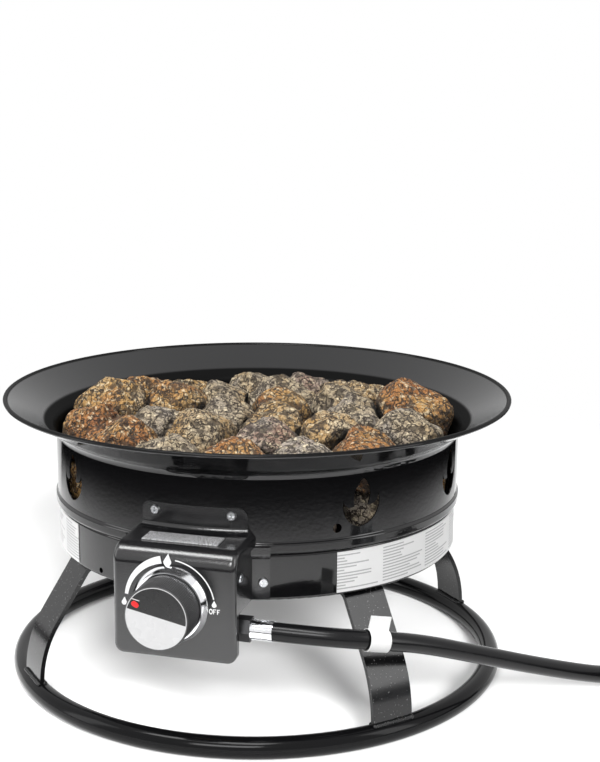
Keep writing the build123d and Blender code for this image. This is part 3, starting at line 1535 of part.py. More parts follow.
outer_ring_radius = bowl_radius - bowl_wall - stone_wall_gap - outer_stone_radius
middle_ring_radius = bowl_radius * middle_ring_share
outer_balls = upper_balls(outer_ring_radius, outer_stone_radius, outer_seat_shares, outer_first_azimuth)
middle_balls = upper_balls(middle_ring_radius, middle_stone_radius, middle_seat_shares, middle_first_azimuth)
centre_balls = upper_balls(centre_ring_radius, centre_stone_radius, centre_seat_shares, centre_first_azimuth)
stone_balls = outer_balls + middle_balls + centre_balls
with BuildPart() as lava_stones_outer:
    add([upper_stone(ball, number) for number, ball in enumerate(outer_balls)])
save(lava_stones_outer, "lava_stones_outer")

with BuildPart() as lava_stones_middle:
    add([upper_stone(ball, number) for number, ball in enumerate(middle_balls)])
save(lava_stones_middle, "lava_stones_middle")

with BuildPart() as lava_stones_centre:
    add([upper_stone(ball, number) for number, ball in enumerate(centre_balls)])
save(lava_stones_centre, "lava_stones_centre")
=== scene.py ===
# %% [markdown]
# # A portable propane fire pit
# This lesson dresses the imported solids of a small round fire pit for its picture. The solids keep their places and
# sizes. Blender adds what a solid can't show: enamel and steel, a smooth hose, rough stones and printed marks.
# Everything is in metres, in the frame of the solids: the floor is z = 0 and the control box faces -Y.

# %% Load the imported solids
import json
import math

import bmesh
import bpy
import numpy as np
from mathutils import Matrix, Vector
from mathutils.bvhtree import BVHTree


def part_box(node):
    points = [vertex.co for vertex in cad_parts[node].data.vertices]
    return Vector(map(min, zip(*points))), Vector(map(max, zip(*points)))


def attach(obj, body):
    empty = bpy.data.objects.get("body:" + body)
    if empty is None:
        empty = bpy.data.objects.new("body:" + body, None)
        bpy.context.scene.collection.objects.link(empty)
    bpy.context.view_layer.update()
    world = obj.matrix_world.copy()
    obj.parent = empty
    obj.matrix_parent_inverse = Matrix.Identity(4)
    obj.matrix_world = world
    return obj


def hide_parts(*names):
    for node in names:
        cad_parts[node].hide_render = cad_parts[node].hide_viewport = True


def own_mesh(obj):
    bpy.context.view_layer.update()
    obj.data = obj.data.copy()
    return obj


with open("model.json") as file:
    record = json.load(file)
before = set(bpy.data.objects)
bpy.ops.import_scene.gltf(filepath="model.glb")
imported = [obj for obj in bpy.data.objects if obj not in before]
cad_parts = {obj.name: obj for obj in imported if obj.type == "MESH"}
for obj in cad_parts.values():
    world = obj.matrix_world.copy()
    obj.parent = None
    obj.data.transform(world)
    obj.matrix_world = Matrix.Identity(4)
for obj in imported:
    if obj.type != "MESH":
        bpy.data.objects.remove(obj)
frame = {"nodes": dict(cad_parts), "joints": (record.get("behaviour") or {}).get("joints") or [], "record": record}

scene = bpy.context.scene
solids = frame["nodes"]
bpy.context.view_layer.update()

# %% [markdown]
# ## The camera
# The picture was taken from a little above and to the right of the control box, with a lens of normal length. The
# place and the axes below were fitted to the rim's and the base ring's ellipses, so the render has the same frame.

# %% Camera
camera_place = Vector((0.3818, -1.2807, 0.5647))
camera_forward = Vector((-0.25144, 0.94408, -0.21327))
camera_up = Vector((-0.06358, 0.20376, 0.97695))
camera_sensor = 36.0
camera_lens = 68.29

camera_data = bpy.data.cameras.new("picture_camera")
camera_data.sensor_width = camera_sensor
camera_data.lens = camera_lens
camera = bpy.data.objects.new("picture_camera", camera_data)
camera_axes = Matrix((camera_forward.cross(camera_up), camera_up, -camera_forward)).transposed()
camera.matrix_world = Matrix.Translation(camera_place) @ camera_axes.to_4x4()
scene.collection.objects.link(camera)
scene.camera = camera
scene.view_settings.view_transform = "Standard"
print("camera", round(camera_place.length, 2), "m from the middle of the floor")

# %% [markdown]
# ## Sums on sockets
# Materials and node trees need a lot of small sums. Placing each Math node by hand hides the formula, so a socket
# is wrapped in a class that knows +, -, * and /. An expression then reads as it would on paper, and adds its nodes.
# Every other node comes from one method, which sets the node's settings before its sockets.


# %% A socket that can be added and multiplied
class Wire:
    """A socket of a node tree. Sums add Math nodes, and node() adds any other node."""

    def __init__(self, tree, socket=None):
        self.tree = tree
        self.socket = socket

    def node(self, kind, settings=None, sockets=None, out=0):
        """A new node: its settings first, then the values or links of its sockets. Gives one of its outputs."""
        made = self.tree.nodes.new(kind)
        for name, value in (settings or {}).items():
            if name == "stops":
                while len(made.color_ramp.elements) < len(value):
                    made.color_ramp.elements.new(1.0)
                for stop, (place, colour) in zip(made.color_ramp.elements, value):
                    stop.position = place
                    stop.color = (*colour, 1.0)
            else:
                setattr(made, name, value)
        for key, value in (sockets or {}).items():
            if isinstance(value, Wire):
                self.tree.links.new(value.socket, made.inputs[key])
            else:
                made.inputs[key].default_value = value
        return Wire(self.tree, made.outputs[out] if len(made.outputs) else None)

    def sum(self, operation, first, second=0.0):
        """A Math node on one or two values."""
        return self.node("ShaderNodeMath", {"operation": operation}, {0: first, 1: second})

    def __add__(self, other):
        return self.sum("ADD", self, other)

    def __radd__(self, other):
        return self.sum("ADD", other, self)

    def __sub__(self, other):
        return self.sum("SUBTRACT", self, other)

    def __rsub__(self, other):
        return self.sum("SUBTRACT", other, self)

    def __mul__(self, other):
        return self.sum("MULTIPLY", self, other)

    def __rmul__(self, other):
        return self.sum("MULTIPLY", other, self)

    def __truediv__(self, other):
        return self.sum("DIVIDE", self, other)

    def __rtruediv__(self, other):
        return self.sum("DIVIDE", other, self)


def ease(value, low, high):
    """0 below low and 1 above high, with a smooth slope between them."""
    settings = {"interpolation_type": "SMOOTHSTEP"}
    return value.node("ShaderNodeMapRange", settings, {0: value, 1: low, 2: high})


def blend(share, first, second):
    """One colour turning into another as share goes from 0 to 1."""
    colours = [(*c, 1.0) if isinstance(c, tuple) else c for c in (first, second)]
    sockets = {0: share, 6: colours[0], 7: colours[1]}
    return share.node("ShaderNodeMix", {"data_type": "RGBA"}, sockets, out=2)


def split(vector):
    """The x, y and z of a vector."""
    parts = vector.node("ShaderNodeSeparateXYZ", None, {0: vector}).socket.node
    return [Wire(vector.tree, part) for part in parts.outputs]


print("sums ready")

# %% [markdown]
# ## The studio
# A white floor and a white surround, as in a catalogue. The floor is a pale board that takes the object's shadow
# near it and fades to plain white further out. The camera and mirror-like surfaces see the surround at a strength
# of 1, which is white, and the floor as it is lit. The light that both shed on the object is weaker, so that colours
# stay as written.

# %% Floor and surround
floor_half = 6.0
floor_z = -0.0002
floor_tone = (0.5, 0.5, 0.5)
floor_shed_tone = (0.17, 0.17, 0.17)
floor_lift = 0.04
floor_fade = (0.42, 1.1)
surround_light = 0.5


def seen_directly(wire):
    """1 for what the camera sees itself, in a mirror or through glass."""
    path = wire.node("ShaderNodeLightPath").socket.node
    kinds = ("Is Camera Ray", "Is Glossy Ray", "Is Transmission Ray")
    first, second, third = [Wire(wire.tree, path.outputs[kind]) for kind in kinds]
    return wire.sum("MINIMUM", first + second + third, 1.0)


def mix_shaders(share, first, second):
    """One shader turning into another."""
    return share.node("ShaderNodeMixShader", None, {0: share, 1: first, 2: second})


floor_finish = bpy.data.materials.new("studio_board")
floor_finish.use_nodes = True
floor_finish.node_tree.nodes.clear()
board = Wire(floor_finish.node_tree)
board_place = board.node("ShaderNodeTexCoord", out="Object")
board_far = board.node("ShaderNodeVectorMath", {"operation": "LENGTH"}, {0: board_place}, out="Value")
board_matt = board.node("ShaderNodeBsdfDiffuse", None, {"Color": (*floor_tone, 1.0)})
board_shed = board.node("ShaderNodeBsdfDiffuse", None, {"Color": (*floor_shed_tone, 1.0)})
board_glow = board.node("ShaderNodeEmission", None, {"Strength": floor_lift})
board_white = board.node("ShaderNodeEmission", None, {"Strength": 1.0})
board_near = board.node("ShaderNodeAddShader", None, {0: board_matt, 1: board_glow})
board_seen = mix_shaders(ease(board_far, *floor_fade), board_near, board_white)
board_mixed = mix_shaders(seen_directly(board), board_shed, board_seen)
board.node("ShaderNodeOutputMaterial", None, {"Surface": board_mixed})

floor_corners = [(x * floor_half, y * floor_half, floor_z) for x, y in ((-1, -1), (1, -1), (1, 1), (-1, 1))]
floor_mesh = bpy.data.meshes.new("studio_floor")
floor_mesh.from_pydata(floor_corners, [], [(0, 1, 2, 3)])
floor_mesh.materials.append(floor_finish)
floor = bpy.data.objects.new("studio_floor", floor_mesh)
scene.collection.objects.link(floor)

surround = bpy.data.worlds.new("studio_surround")
surround.use_nodes = True
surround.node_tree.nodes.clear()
scene.world = surround
air = Wire(surround.node_tree)
air_strength = surround_light + seen_directly(air) * (1.0 - surround_light)
air_light = air.node("ShaderNodeBackground", None, {"Color": (1.0, 1.0, 1.0, 1.0), "Strength": air_strength})
air.node("ShaderNodeOutputWorld", None, {"Surface": air_light})
print("floor", 2 * floor_half, "m wide, surround at", surround_light)

# %% [markdown]
# ## Lamps
# Glossy black shows little but what it mirrors, so the lamps are large soft boxes: one high up that draws a line
# along every rounded top edge, a tall one at each side for the bands on the drum, and one in front for the printed
# faces. A fifth lamp, in front on the right, is linked to the floor alone: it makes the floor white and lays the soft
# shadow under the pan, without another glare on the enamel. A dark cloth lies in a wide arc on the floor and is seen
# by mirrored light alone. Photographers lay one there to keep black enamel black. Its inner edge fades, so that the
# bright band on the pan has a soft end.

# %% Soft boxes and the dark cloth
# Each lamp's place, the point it faces, its width, its height and its power in watts
lamps = {
    "top_box": ((-0.2, -0.75, 1.55), (0.0, -0.1, 0.15), 1.3, 0.4, 20.0),
    "left_box": ((-1.5, -0.75, 0.75), (0.0, 0.0, 0.15), 0.5, 1.3, 5.0),
    "right_box": ((1.6, -0.35, 0.8), (0.0, 0.0, 0.15), 0.5, 1.3, 7.0),
    "front_box": ((0.1, -2.2, 1.5), (0.0, 0.0, 0.15), 1.2, 0.6, 30.0),
}
for lamp_name, (place, target, width, height, power) in lamps.items():
    lamp_data = bpy.data.lights.new(lamp_name, "AREA")
    lamp_data.shape = "RECTANGLE"
    lamp_data.size = width
    lamp_data.size_y = height
    lamp_data.energy = power
    lamp = bpy.data.objects.new(lamp_name, lamp_data)
    lamp.location = place
    lamp.rotation_euler = (Vector(target) - Vector(place)).to_track_quat("-Z", "Y").to_euler()
    scene.collection.objects.link(lamp)

floor_lamp_way = Vector((-0.9, 1.45, -0.87))
floor_lamp_power = 10.0
floor_lamp_spread = math.radians(18.0)
floor_lamp_data = bpy.data.lights.new("floor_lamp", "SUN")
floor_lamp_data.energy = floor_lamp_power
floor_lamp_data.angle = floor_lamp_spread
floor_lamp = bpy.data.objects.new("floor_lamp", floor_lamp_data)
floor_lamp.rotation_euler = floor_lamp_way.to_track_quat("-Z", "Y").to_euler()
scene.collection.objects.link(floor_lamp)
lit_floor = bpy.data.collections.new("lit_floor")
lit_floor.objects.link(floor)
floor_lamp.light_linking.receiver_collection = lit_floor

cloth_ends = (-120.0, 160.0)
cloth_steps = 36
cloth_radii = (0.6, 3.0)
cloth_fade = (0.62, 0.9)
cloth_height = 0.001
cloth_tone = (0.004, 0.004, 0.004)
cloth_turns = np.radians(np.linspace(*cloth_ends, cloth_steps))
cloth_points = [(r * math.sin(a), -r * math.cos(a), cloth_height) for a in cloth_turns for r in cloth_radii]
cloth_faces = [(2 * i, 2 * i + 1, 2 * i + 3, 2 * i + 2) for i in range(len(cloth_turns) - 1)]
cloth_mesh = bpy.data.meshes.new("dark_cloth")
cloth_mesh.from_pydata(cloth_points, [], cloth_faces)
cloth_finish = bpy.data.materials.new("dark_cloth")
cloth_finish.use_nodes = True
cloth_finish.node_tree.nodes.clear()
weave = Wire(cloth_finish.node_tree)
weave_place = weave.node("ShaderNodeTexCoord", out="Object")
weave_far = weave.node("ShaderNodeVectorMath", {"operation": "LENGTH"}, {0: weave_place}, out="Value")
weave_clear = weave.node("ShaderNodeBsdfTransparent")
weave_dark = weave.node("ShaderNodeBsdfDiffuse", None, {"Color": (*cloth_tone, 1.0)})
weave_mixed = mix_shaders(ease(weave_far, *cloth_fade), weave_clear, weave_dark)
weave.node("ShaderNodeOutputMaterial", None, {"Surface": weave_mixed})
cloth_mesh.materials.append(cloth_finish)
cloth = bpy.data.objects.new("dark_cloth", cloth_mesh)
cloth.visible_camera = False
cloth.visible_diffuse = False
cloth.visible_shadow = False
cloth.visible_transmission = False
scene.collection.objects.link(cloth)
print(len(lamps), "soft boxes, a floor lamp and a dark cloth")

# %% [markdown]
# ## The gas hose
# A rubber hose runs from the valve over the base ring and down to the floor. What the picture doesn't show of it is
# wound in a flat coil of two layers, strapped, and ends in the regulator. A swept tube with rounded corners looks
# like bent wire, so the route's points are the control points of one smooth spline instead. The coil's turns are
# half circles. Their radius steps in by one hose width a turn, then the hose climbs to the upper layer and steps out.
# The tube's radius is set at each point, because the box that Blender keeps for a curve is made from it.

# %% Hose route
hose_diameter = 0.016
hose_exit = (0.0777, -0.214, 0.113)
hose_floor_z = 0.0096
hose_upper_z = 0.0263
hose_points = [
    hose_exit,
    (0.112, -0.214, 0.113),
    (0.150, -0.200, 0.1085),
    (0.188, -0.164, 0.096),
    (0.232, -0.117, 0.072),
    (0.279, -0.064, 0.045),
    (0.327, -0.013, 0.021),
    (0.357, 0.021, hose_floor_z),
    (0.378, 0.055, hose_floor_z),
]
coil_radius = 0.103
coil_gap = 0.0008
coil_half_turns = 9
coil_lead_in = 0.016
turn_points = 12
tail_run = 0.03

coil_climb = coil_half_turns // 2
coil_step = (hose_diameter + coil_gap) / 2
coil_way = (Vector(hose_points[-1]) - Vector(hose_points[-2])).normalized()
coil_side = Vector((coil_way.y, -coil_way.x, 0.0))
tail_way = Vector((0.0, -1.0, 0.0))
turn_step = math.pi / turn_points
coil_point = Vector(hose_points[-1]) + coil_way * coil_lead_in
for index in range(coil_half_turns):
    radius = coil_radius - coil_step * min(index, coil_half_turns - 1 - index)
    middle = coil_point + coil_side * radius
    spread = radius / math.cos(turn_step / 2)
    for step in range(turn_points):
        angle = (step + 0.5) * turn_step
        point = middle + coil_way * (spread * math.sin(angle)) - coil_side * (spread * math.cos(angle))
        share = angle / math.pi
        climb = share * share * (3 - 2 * share)
        rise = 0.0 if index < coil_climb else climb if index == coil_climb else 1.0
        point.z = hose_floor_z + (hose_upper_z - hose_floor_z) * rise
        hose_points.append(tuple(point))
    coil_point = coil_point + coil_side * (2 * radius)
    coil_way, coil_side = -coil_way, -coil_side
tail_point = coil_point + coil_way * coil_lead_in
tail_point.z = hose_upper_z
for way in (coil_way, (coil_way + tail_way).normalized(), tail_way):
    tail_point = tail_point + way * tail_run
    hose_points.append(tuple(tail_point))

hose_curve = bpy.data.curves.new("gas_hose", "CURVE")
hose_curve.dimensions = "3D"
hose_curve.bevel_depth = 1.0
hose_curve.bevel_resolution = 6
hose_curve.resolution_u = 5
hose_curve.use_fill_caps = True
hose_line = hose_curve.splines.new("NURBS")
hose_line.points.add(len(hose_points) - 1)
for spot, point in zip(hose_line.points, hose_points):
    spot.co = (*point, 1.0)
    spot.radius = hose_diameter / 2
hose_line.order_u = 3
hose_line.use_endpoint_u = True
hose_line.use_smooth = True
hose = bpy.data.objects.new("gas_hose", hose_curve)
scene.collection.objects.link(hose)
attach(hose, "stand")
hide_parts("hose_lead", "hose_coil", "hose_tail")
print("hose of", len(hose_points), "points, end at", [round(value, 4) for value in hose_points[-1]])

# %% [markdown]
# ## Finishes
# Every surface is a Principled shader whose colour, roughness and relief come from patterns in Object coordinates,
# so that the pattern stays on the piece when a joint moves it. A flat colour would look like plastic toys: real
# enamel has a faint orange-peel skin, powder coat has grit, cast metal has grain. Three small helpers keep each
# finish to a few lines.


# %% Helpers for finishes
def start_finish(name):
    """A new material, its tree, and the place on the piece that patterns follow."""
    material = bpy.data.materials.new(name)
    material.use_nodes = True
    wire = Wire(material.node_tree)
    return material, wire, wire.node("ShaderNodeTexCoord", out="Object")


def set_finish(material, **sockets):
    """Sets or links sockets of the shader; Base_Color stands for Base Color."""
    shader = material.node_tree.nodes["Principled BSDF"]
    for name, value in sockets.items():
        socket = shader.inputs[name.replace("_", " ")]
        if isinstance(value, Wire):
            material.node_tree.links.new(value.socket, socket)
        else:
            socket.default_value = (*value, 1.0) if isinstance(value, tuple) else value
    return material


def grain(place, scale, detail=2.0):
    """Cloudy pattern from 0 to 1, about 1/scale metres large."""
    return place.node("ShaderNodeTexNoise", None, {"Vector": place, "Scale": scale, "Detail": detail})


def relief(height, strength, depth):
    """Small bumps for the Normal socket."""
    return height.node("ShaderNodeBump", None, {"Strength": strength, "Distance": depth, "Height": height})


finishes = {}
print("finish helpers ready")

# %% [markdown]
# ### Black enamel
# The bowl and the pan are dipped in black enamel that comes out of the kiln like glass, with a skin a little
# uneven at a few millimetres. The bowl's wall gets hot in use, so its inside and the top of the rolled lip are matt,
# and the flare between them has a softer gloss than the outside. Masks by height, by radius and by the way the surface
# faces turn one into the other; matt soot is a second shader, mixed in by its mask.

# %% Enamel
wall_foot = (0.168, 0.172)
wall_top = (0.2425, 0.2445)
lip_radius = (0.2325, 0.2335)
facing_in = (0.03, 0.08)
flare_facing_up = (0.25, 0.55)
lip_facing_up = (0.0, 0.4)
enamel, wire, place = start_finish("black_enamel")
x, y, z = split(place)
nx, ny, nz = split(wire.node("ShaderNodeNewGeometry", out="Normal"))
above_wall = ease(z, *wall_top)
inside = ease(0.0 - x * nx - y * ny, *facing_in) * ease(z, *wall_foot) * (1.0 - above_wall)
flare = ease(nz, *flare_facing_up) * above_wall
lip = ease(wire.sum("SQRT", x * x + y * y), *lip_radius) * ease(nz, *lip_facing_up) * above_wall
sooted = wire.sum("MAXIMUM", inside * 0.9, lip * 0.75)
cloud = grain(place, 14.0, 4.0)
skin = grain(place, 330.0, 1.0)
finishes["enamel"] = set_finish(
    enamel,
    Base_Color=(0.0055, 0.0055, 0.006),
    Roughness=0.06 + 0.05 * cloud + 0.3 * inside + (0.13 + 0.06 * cloud) * flare,
    Normal=relief(skin + 0.6 * inside * grain(place, 900.0), 0.05, 0.0006),
)
soot = wire.node("ShaderNodeBsdfDiffuse", None, {"Color": (0.004, 0.004, 0.004, 1.0)})
glass = Wire(enamel.node_tree, enamel.node_tree.nodes["Principled BSDF"].outputs[0])
enamel_end = enamel.node_tree.nodes["Material Output"].inputs["Surface"]
enamel.node_tree.links.new(mix_shaders(sooted, glass, soot).socket, enamel_end)
print("enamel: glassy outside, softer on the flare, matt inside")

# %% [markdown]
# ### Powder coats
# The legs and the base ring are powder coated black over plain steel: glossy, but with less depth than enamel, and the
# legs have some grit and a few pale specks. The control cover has an even fine texture. Its raised bar has a painted
# highlight: bright grey flecks in its colour, partly rubbed paint. The textures are fine noise; specks and bright
# flecks are where it passes a threshold.

# %% Powder coats of legs, ring and cover
leg_paint, wire, place = start_finish("leg_powder_coat")
grit = grain(place, 1500.0, 1.0)
specks = ease(grain(place, 700.0, 0.0), 0.755, 0.79)
finishes["leg_paint"] = set_finish(
    leg_paint,
    Base_Color=blend(specks, (0.005, 0.005, 0.0055), (0.12, 0.12, 0.12)),
    Roughness=0.1 + 0.1 * grain(place, 45.0, 3.0),
    Specular_IOR_Level=0.4,
    Normal=relief(grit, 0.05, 0.0004),
)
ring_paint, wire, place = start_finish("ring_powder_coat")
finishes["ring_paint"] = set_finish(
    ring_paint,
    Base_Color=(0.004, 0.004, 0.0045),
    Roughness=0.09 + 0.08 * grain(place, 30.0, 3.0),
    Specular_IOR_Level=0.14,
    Normal=relief(grain(place, 420.0, 1.0), 0.04, 0.0005),
)
bar_height = (0.1848, 0.1856)
bar_front = (0.2035, 0.2045)
cover_paint, wire, place = start_finish("cover_powder_coat")
grit = grain(place, 1250.0, 1.0)
x, y, z = split(place)
on_bar = ease(z, *bar_height) * ease(0.0 - y, *bar_front)
# Painted highlight on the raised bar: bright grey flecks in its colour, partly rubbed paint
wear_and_painted_highlight = on_bar * ease(grain(place, 1100.0, 2.0), 0.2, 0.65)
coat = blend(grain(place, 1000.0, 1.0), (0.004, 0.004, 0.0045), (0.014, 0.014, 0.015))
finishes["cover_paint"] = set_finish(
    cover_paint,
    Base_Color=blend(wear_and_painted_highlight * 0.8, coat, (0.52, 0.52, 0.53)),
    Roughness=0.11 + 0.09 * grit,
    Specular_IOR_Level=0.75,
    Normal=relief(grit, 0.2, 0.0004),
)
print("powder coats: legs with specks, plain ring, cover with fine grit")

# %% [markdown]
# ### Metals
# Zinc-plated screws, chromed bezel and ferrules, brass valve parts, a stainless burner with straw and blue heat
# tints, a cast alloy regulator and black oxide nuts. They are one family: full metal, a tone, and a roughness that
# wanders a little, so one function makes them from a short table.


# %% Metals
fine_relief = 0.0003


def metal(name, low, high, dull, wander, scale, bumps, metallic=1.0):
    """A metal between two tones, with a roughness that wanders and a relief of its grain."""
    material, wire, place = start_finish(name)
    cloud = grain(place, scale, 3.0)
    grit = grain(place, scale * 12.0, 1.0)
    return set_finish(
        material,
        Base_Color=blend(cloud, low, high),
        Roughness=dull + wander * cloud,
        Metallic=metallic,
        Normal=relief(grit, bumps, fine_relief),
    )


metal_table = {
    "bright_steel": ("zinc_plate", (0.52, 0.53, 0.55), (0.72, 0.73, 0.74), 0.18, 0.2, 220.0, 0.05),
    "chrome": ("chrome_plate", (0.8, 0.81, 0.83), (0.9, 0.9, 0.92), 0.04, 0.09, 60.0, 0.015),
    "brass": ("turned_brass", (0.52, 0.36, 0.13), (0.7, 0.5, 0.2), 0.2, 0.18, 160.0, 0.05),
    "cast_alloy": ("cast_alloy", (0.3, 0.31, 0.32), (0.46, 0.47, 0.48), 0.4, 0.2, 130.0, 0.35),
    "black_steel": ("black_oxide", (0.014, 0.014, 0.015), (0.045, 0.045, 0.047), 0.28, 0.16, 150.0, 0.1, 0.6),
}
for slot_name, row in metal_table.items():
    finishes[slot_name] = metal(*row)
burner_steel, wire, place = start_finish("heat_tinted_steel")
tint = grain(place, 40.0, 3.0)
straw = blend(ease(tint, 0.35, 0.6), (0.46, 0.44, 0.42), (0.42, 0.3, 0.17))
finishes["burner_steel"] = set_finish(
    burner_steel,
    Base_Color=blend(ease(tint, 0.58, 0.75), straw, (0.13, 0.14, 0.22)),
    Roughness=0.3 + 0.25 * tint,
    Metallic=1.0,
    Normal=relief(grain(place, 700.0), 0.08, fine_relief),
)
print(len(metal_table) + 1, "metals")

# %% [markdown]
# ### Rubber, plastics and labels
# The hose is smooth satin rubber with a little dust. Knob, hand nut and straps are moulded plastics. The plates on
# the pan and the tag on the hose are white film. The plates have faint ruled bars: rows by height, columns by the
# angle round the drum, each bar of its own length, from white noise on its row and column.

# %% Rubber, plastics and labels
def moulded(name, tone, dull, grit_scale, bumps, gloss=0.5):
    """A moulded rubber or plastic of one tone, a little dusty, with a fine grain."""
    material, wire, place = start_finish(name)
    dust = grain(place, 35.0, 3.0)
    dusty = tuple(value * 1.5 + 0.003 for value in tone)
    return set_finish(
        material,
        Base_Color=blend(dust, tone, dusty),
        Roughness=dull + 0.14 * dust,
        Specular_IOR_Level=gloss,
        Normal=relief(grain(place, grit_scale, 1.0), bumps, fine_relief),
    )


finishes["hose_rubber"] = moulded("hose_rubber", (0.003, 0.003, 0.0035), 0.16, 1400.0, 0.08, 0.22)
finishes["strap_plastic"] = moulded("strap_nylon", (0.014, 0.014, 0.014), 0.36, 900.0, 0.08)
finishes["hand_plastic"] = moulded("hand_nut_plastic", (0.012, 0.012, 0.013), 0.36, 1100.0, 0.12)
finishes["pointer_red"] = moulded("pointer_red", (0.62, 0.012, 0.014), 0.3, 900.0, 0.04)

rule_pitch = 0.0027
rule_share = 0.42
rule_column = 0.3
bar_shortest = 0.3
bar_spread = 0.62
plate_print = (0.1285, 0.1605)
label, wire, place = start_finish("blank_label")
x, y, z = split(place)
turn = wire.sum("ARCTAN2", x, 0.0 - y)
row = wire.sum("FLOOR", z / rule_pitch)
column = wire.sum("FLOOR", turn / rule_column)
row_column = wire.node("ShaderNodeCombineXYZ", None, {0: row, 1: column})
luck = wire.node("ShaderNodeTexWhiteNoise", {"noise_dimensions": "2D"}, {"Vector": row_column})
in_row = wire.sum("LESS_THAN", wire.sum("FRACT", z / rule_pitch), rule_share)
in_bar = wire.sum("LESS_THAN", wire.sum("FRACT", turn / rule_column), bar_shortest + bar_spread * luck)
on_plate = wire.sum("GREATER_THAN", z, plate_print[0]) * wire.sum("LESS_THAN", z, plate_print[1])
bars = in_row * in_bar * on_plate
film = blend(grain(place, 60.0), (0.8, 0.8, 0.8), (0.86, 0.86, 0.855))
finishes["white_label"] = set_finish(label, Base_Color=blend(0.62 * bars, film, (0.2, 0.2, 0.21)), Roughness=0.42)
print("rubber, plastics and labels")

# %% [markdown]
# ### Knob
# The knob's skirt is a fine grey-black knurl. Its face is a disc with a black upper half and a white lower half,
# split on a sloping line close to the knob's axis, with a thin white ring at its edge and a white line beside the
# pointer. The split is a sum on the height and width from the axis, so no picture is needed.

# %% Knob finishes
knob_axis_x, _, knob_axis_z = next(
    joint["pos_m"] for joint in frame["joints"] if joint["name"] == "knob_turn"
)
face_slope = math.radians(11.7)
face_radius = 0.0258
face_split = 0.0015
mark_height = 0.0106
mark_end = -0.0135
mark_half = 0.0004
ring_width = 0.0007
print_blur = 0.0001
finishes["knob_plastic"] = moulded("knob_plastic", (0.035, 0.035, 0.036), 0.26, 1600.0, 0.25)

knob_face, wire, place = start_finish("knob_face_print")
x, y, z = split(place)
across = x - knob_axis_x
above = z - knob_axis_z
split_height = above * math.cos(face_slope) + across * math.sin(face_slope)
radius = wire.sum("SQRT", across * across + above * above)
white_half = ease(split_height, face_split + print_blur, face_split - print_blur)
ring_start = face_radius - ring_width
white_ring = ease(radius, ring_start - print_blur, ring_start + print_blur)
from_mark = wire.sum("ABSOLUTE", split_height - mark_height)
on_mark = 1.0 - ease(from_mark, mark_half - print_blur, mark_half + print_blur)
white_mark = on_mark * ease(across, mark_end, mark_end - 2 * print_blur)
printed = wire.sum("MAXIMUM", wire.sum("MAXIMUM", white_half, white_ring), white_mark)
scuffs = grain(place, 90.0, 4.0)
knob_face_tone = blend(printed, (0.006, 0.006, 0.0065), (0.62, 0.62, 0.625))
finishes["knob_face"] = set_finish(knob_face, Base_Color=knob_face_tone, Roughness=0.2 + 0.15 * scuffs)
print("knob face split at", round(math.degrees(face_slope)), "degrees")

# %% [markdown]
# ### Dressing the solids
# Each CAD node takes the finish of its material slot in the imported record, so that a later change of a slot in the
# record reaches the picture too. A few nodes differ from the rest of their slot and are named: the knob's face has its
# own print, the ferrules on the hose are polished, and the ring's coat has no specks.

# %% Finishes on the solids
own_finishes = {
    "knob_face": "knob_face", "inlet_ferrule": "chrome", "outlet_ferrule": "chrome", "base_ring": "ring_paint",
}
dressed = 0
for row in frame["record"]["subparts"]:
    slot_name = own_finishes.get(row["node"], row["material_slot"])
    if slot_name in finishes:
        solids[row["node"]].data.materials.clear()
        solids[row["node"]].data.materials.append(finishes[slot_name])
        dressed += 1
hose_curve.materials.append(finishes["hose_rubber"])
print(dressed, "solids dressed from the record's slots")

# %% [markdown]
# ## Node trees that make geometry
# Ribs, weld ripples and the skin of the stones repeat or follow a rule, so Geometry Nodes make them. A tree gets
# named inputs for its sizes. When it has run, its result is kept as a plain mesh and the modifier goes, because an
# exported model holds meshes and not recipes.


# %% Helpers for node trees
def start_tree(name, inputs):
    """A tree with named inputs: the tree, a Wire for each input, and the identifiers that a modifier sets."""
    tree = bpy.data.node_groups.new(name, "GeometryNodeTree")
    tree.interface.new_socket("Geometry", in_out="OUTPUT", socket_type="NodeSocketGeometry")
    keys = {}
    for label, kind in inputs.items():
        socket = tree.interface.new_socket(label, in_out="INPUT", socket_type="NodeSocket" + kind)
        keys[label] = socket.identifier
    entry = Wire(tree).node("NodeGroupInput").socket.node
    return tree, {label: Wire(tree, entry.outputs[label]) for label in inputs}, keys


def end_tree(geometry, material):
    """The tree's last nodes: real geometry with its finish."""
    real = geometry.node("GeometryNodeRealizeInstances", None, {"Geometry": geometry})
    done = real.node("GeometryNodeSetMaterial", None, {"Geometry": real, "Material": material})
    done.node("NodeGroupOutput", None, {0: done})


def grow(name, tree, keys, values, body, start=None):
    """Runs a tree on a start mesh and keeps the result as a plain piece on a body."""
    piece = bpy.data.objects.new(name, start or bpy.data.meshes.new(name))
    scene.collection.objects.link(piece)
    modifier = piece.modifiers.new(name, "NODES")
    modifier.node_group = tree
    for label, value in values.items():
        modifier[keys[label]] = value
    graph = bpy.context.evaluated_depsgraph_get()
    mesh = bpy.data.meshes.new_from_object(
        piece.evaluated_get(graph), preserve_all_data_layers=True, depsgraph=graph
    )
    piece.modifiers.clear()
    piece.data = mesh
    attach(piece, body)
    print(name, len(mesh.polygons), "faces")
    return piece


# %% [markdown]
# ## Lava stones
# Lava stones are torn, porous lumps, no two alike. The CAD stones are cut balls: right in place and size, too clean
# to look at. Each one is wrapped: rays go out from its middle to its surface on a fine ball of even quads, the radii
# grow a little into the gap towards its neighbours and are smoothed, so that it stays where the solid is. How near
# its neighbours are is kept too, for the painted shade between the stones. A node tree then wears the skin down with
# lumps and pits and gives each stone a tone of its own.

# %% A ball of even quads
ball_cuts = 29


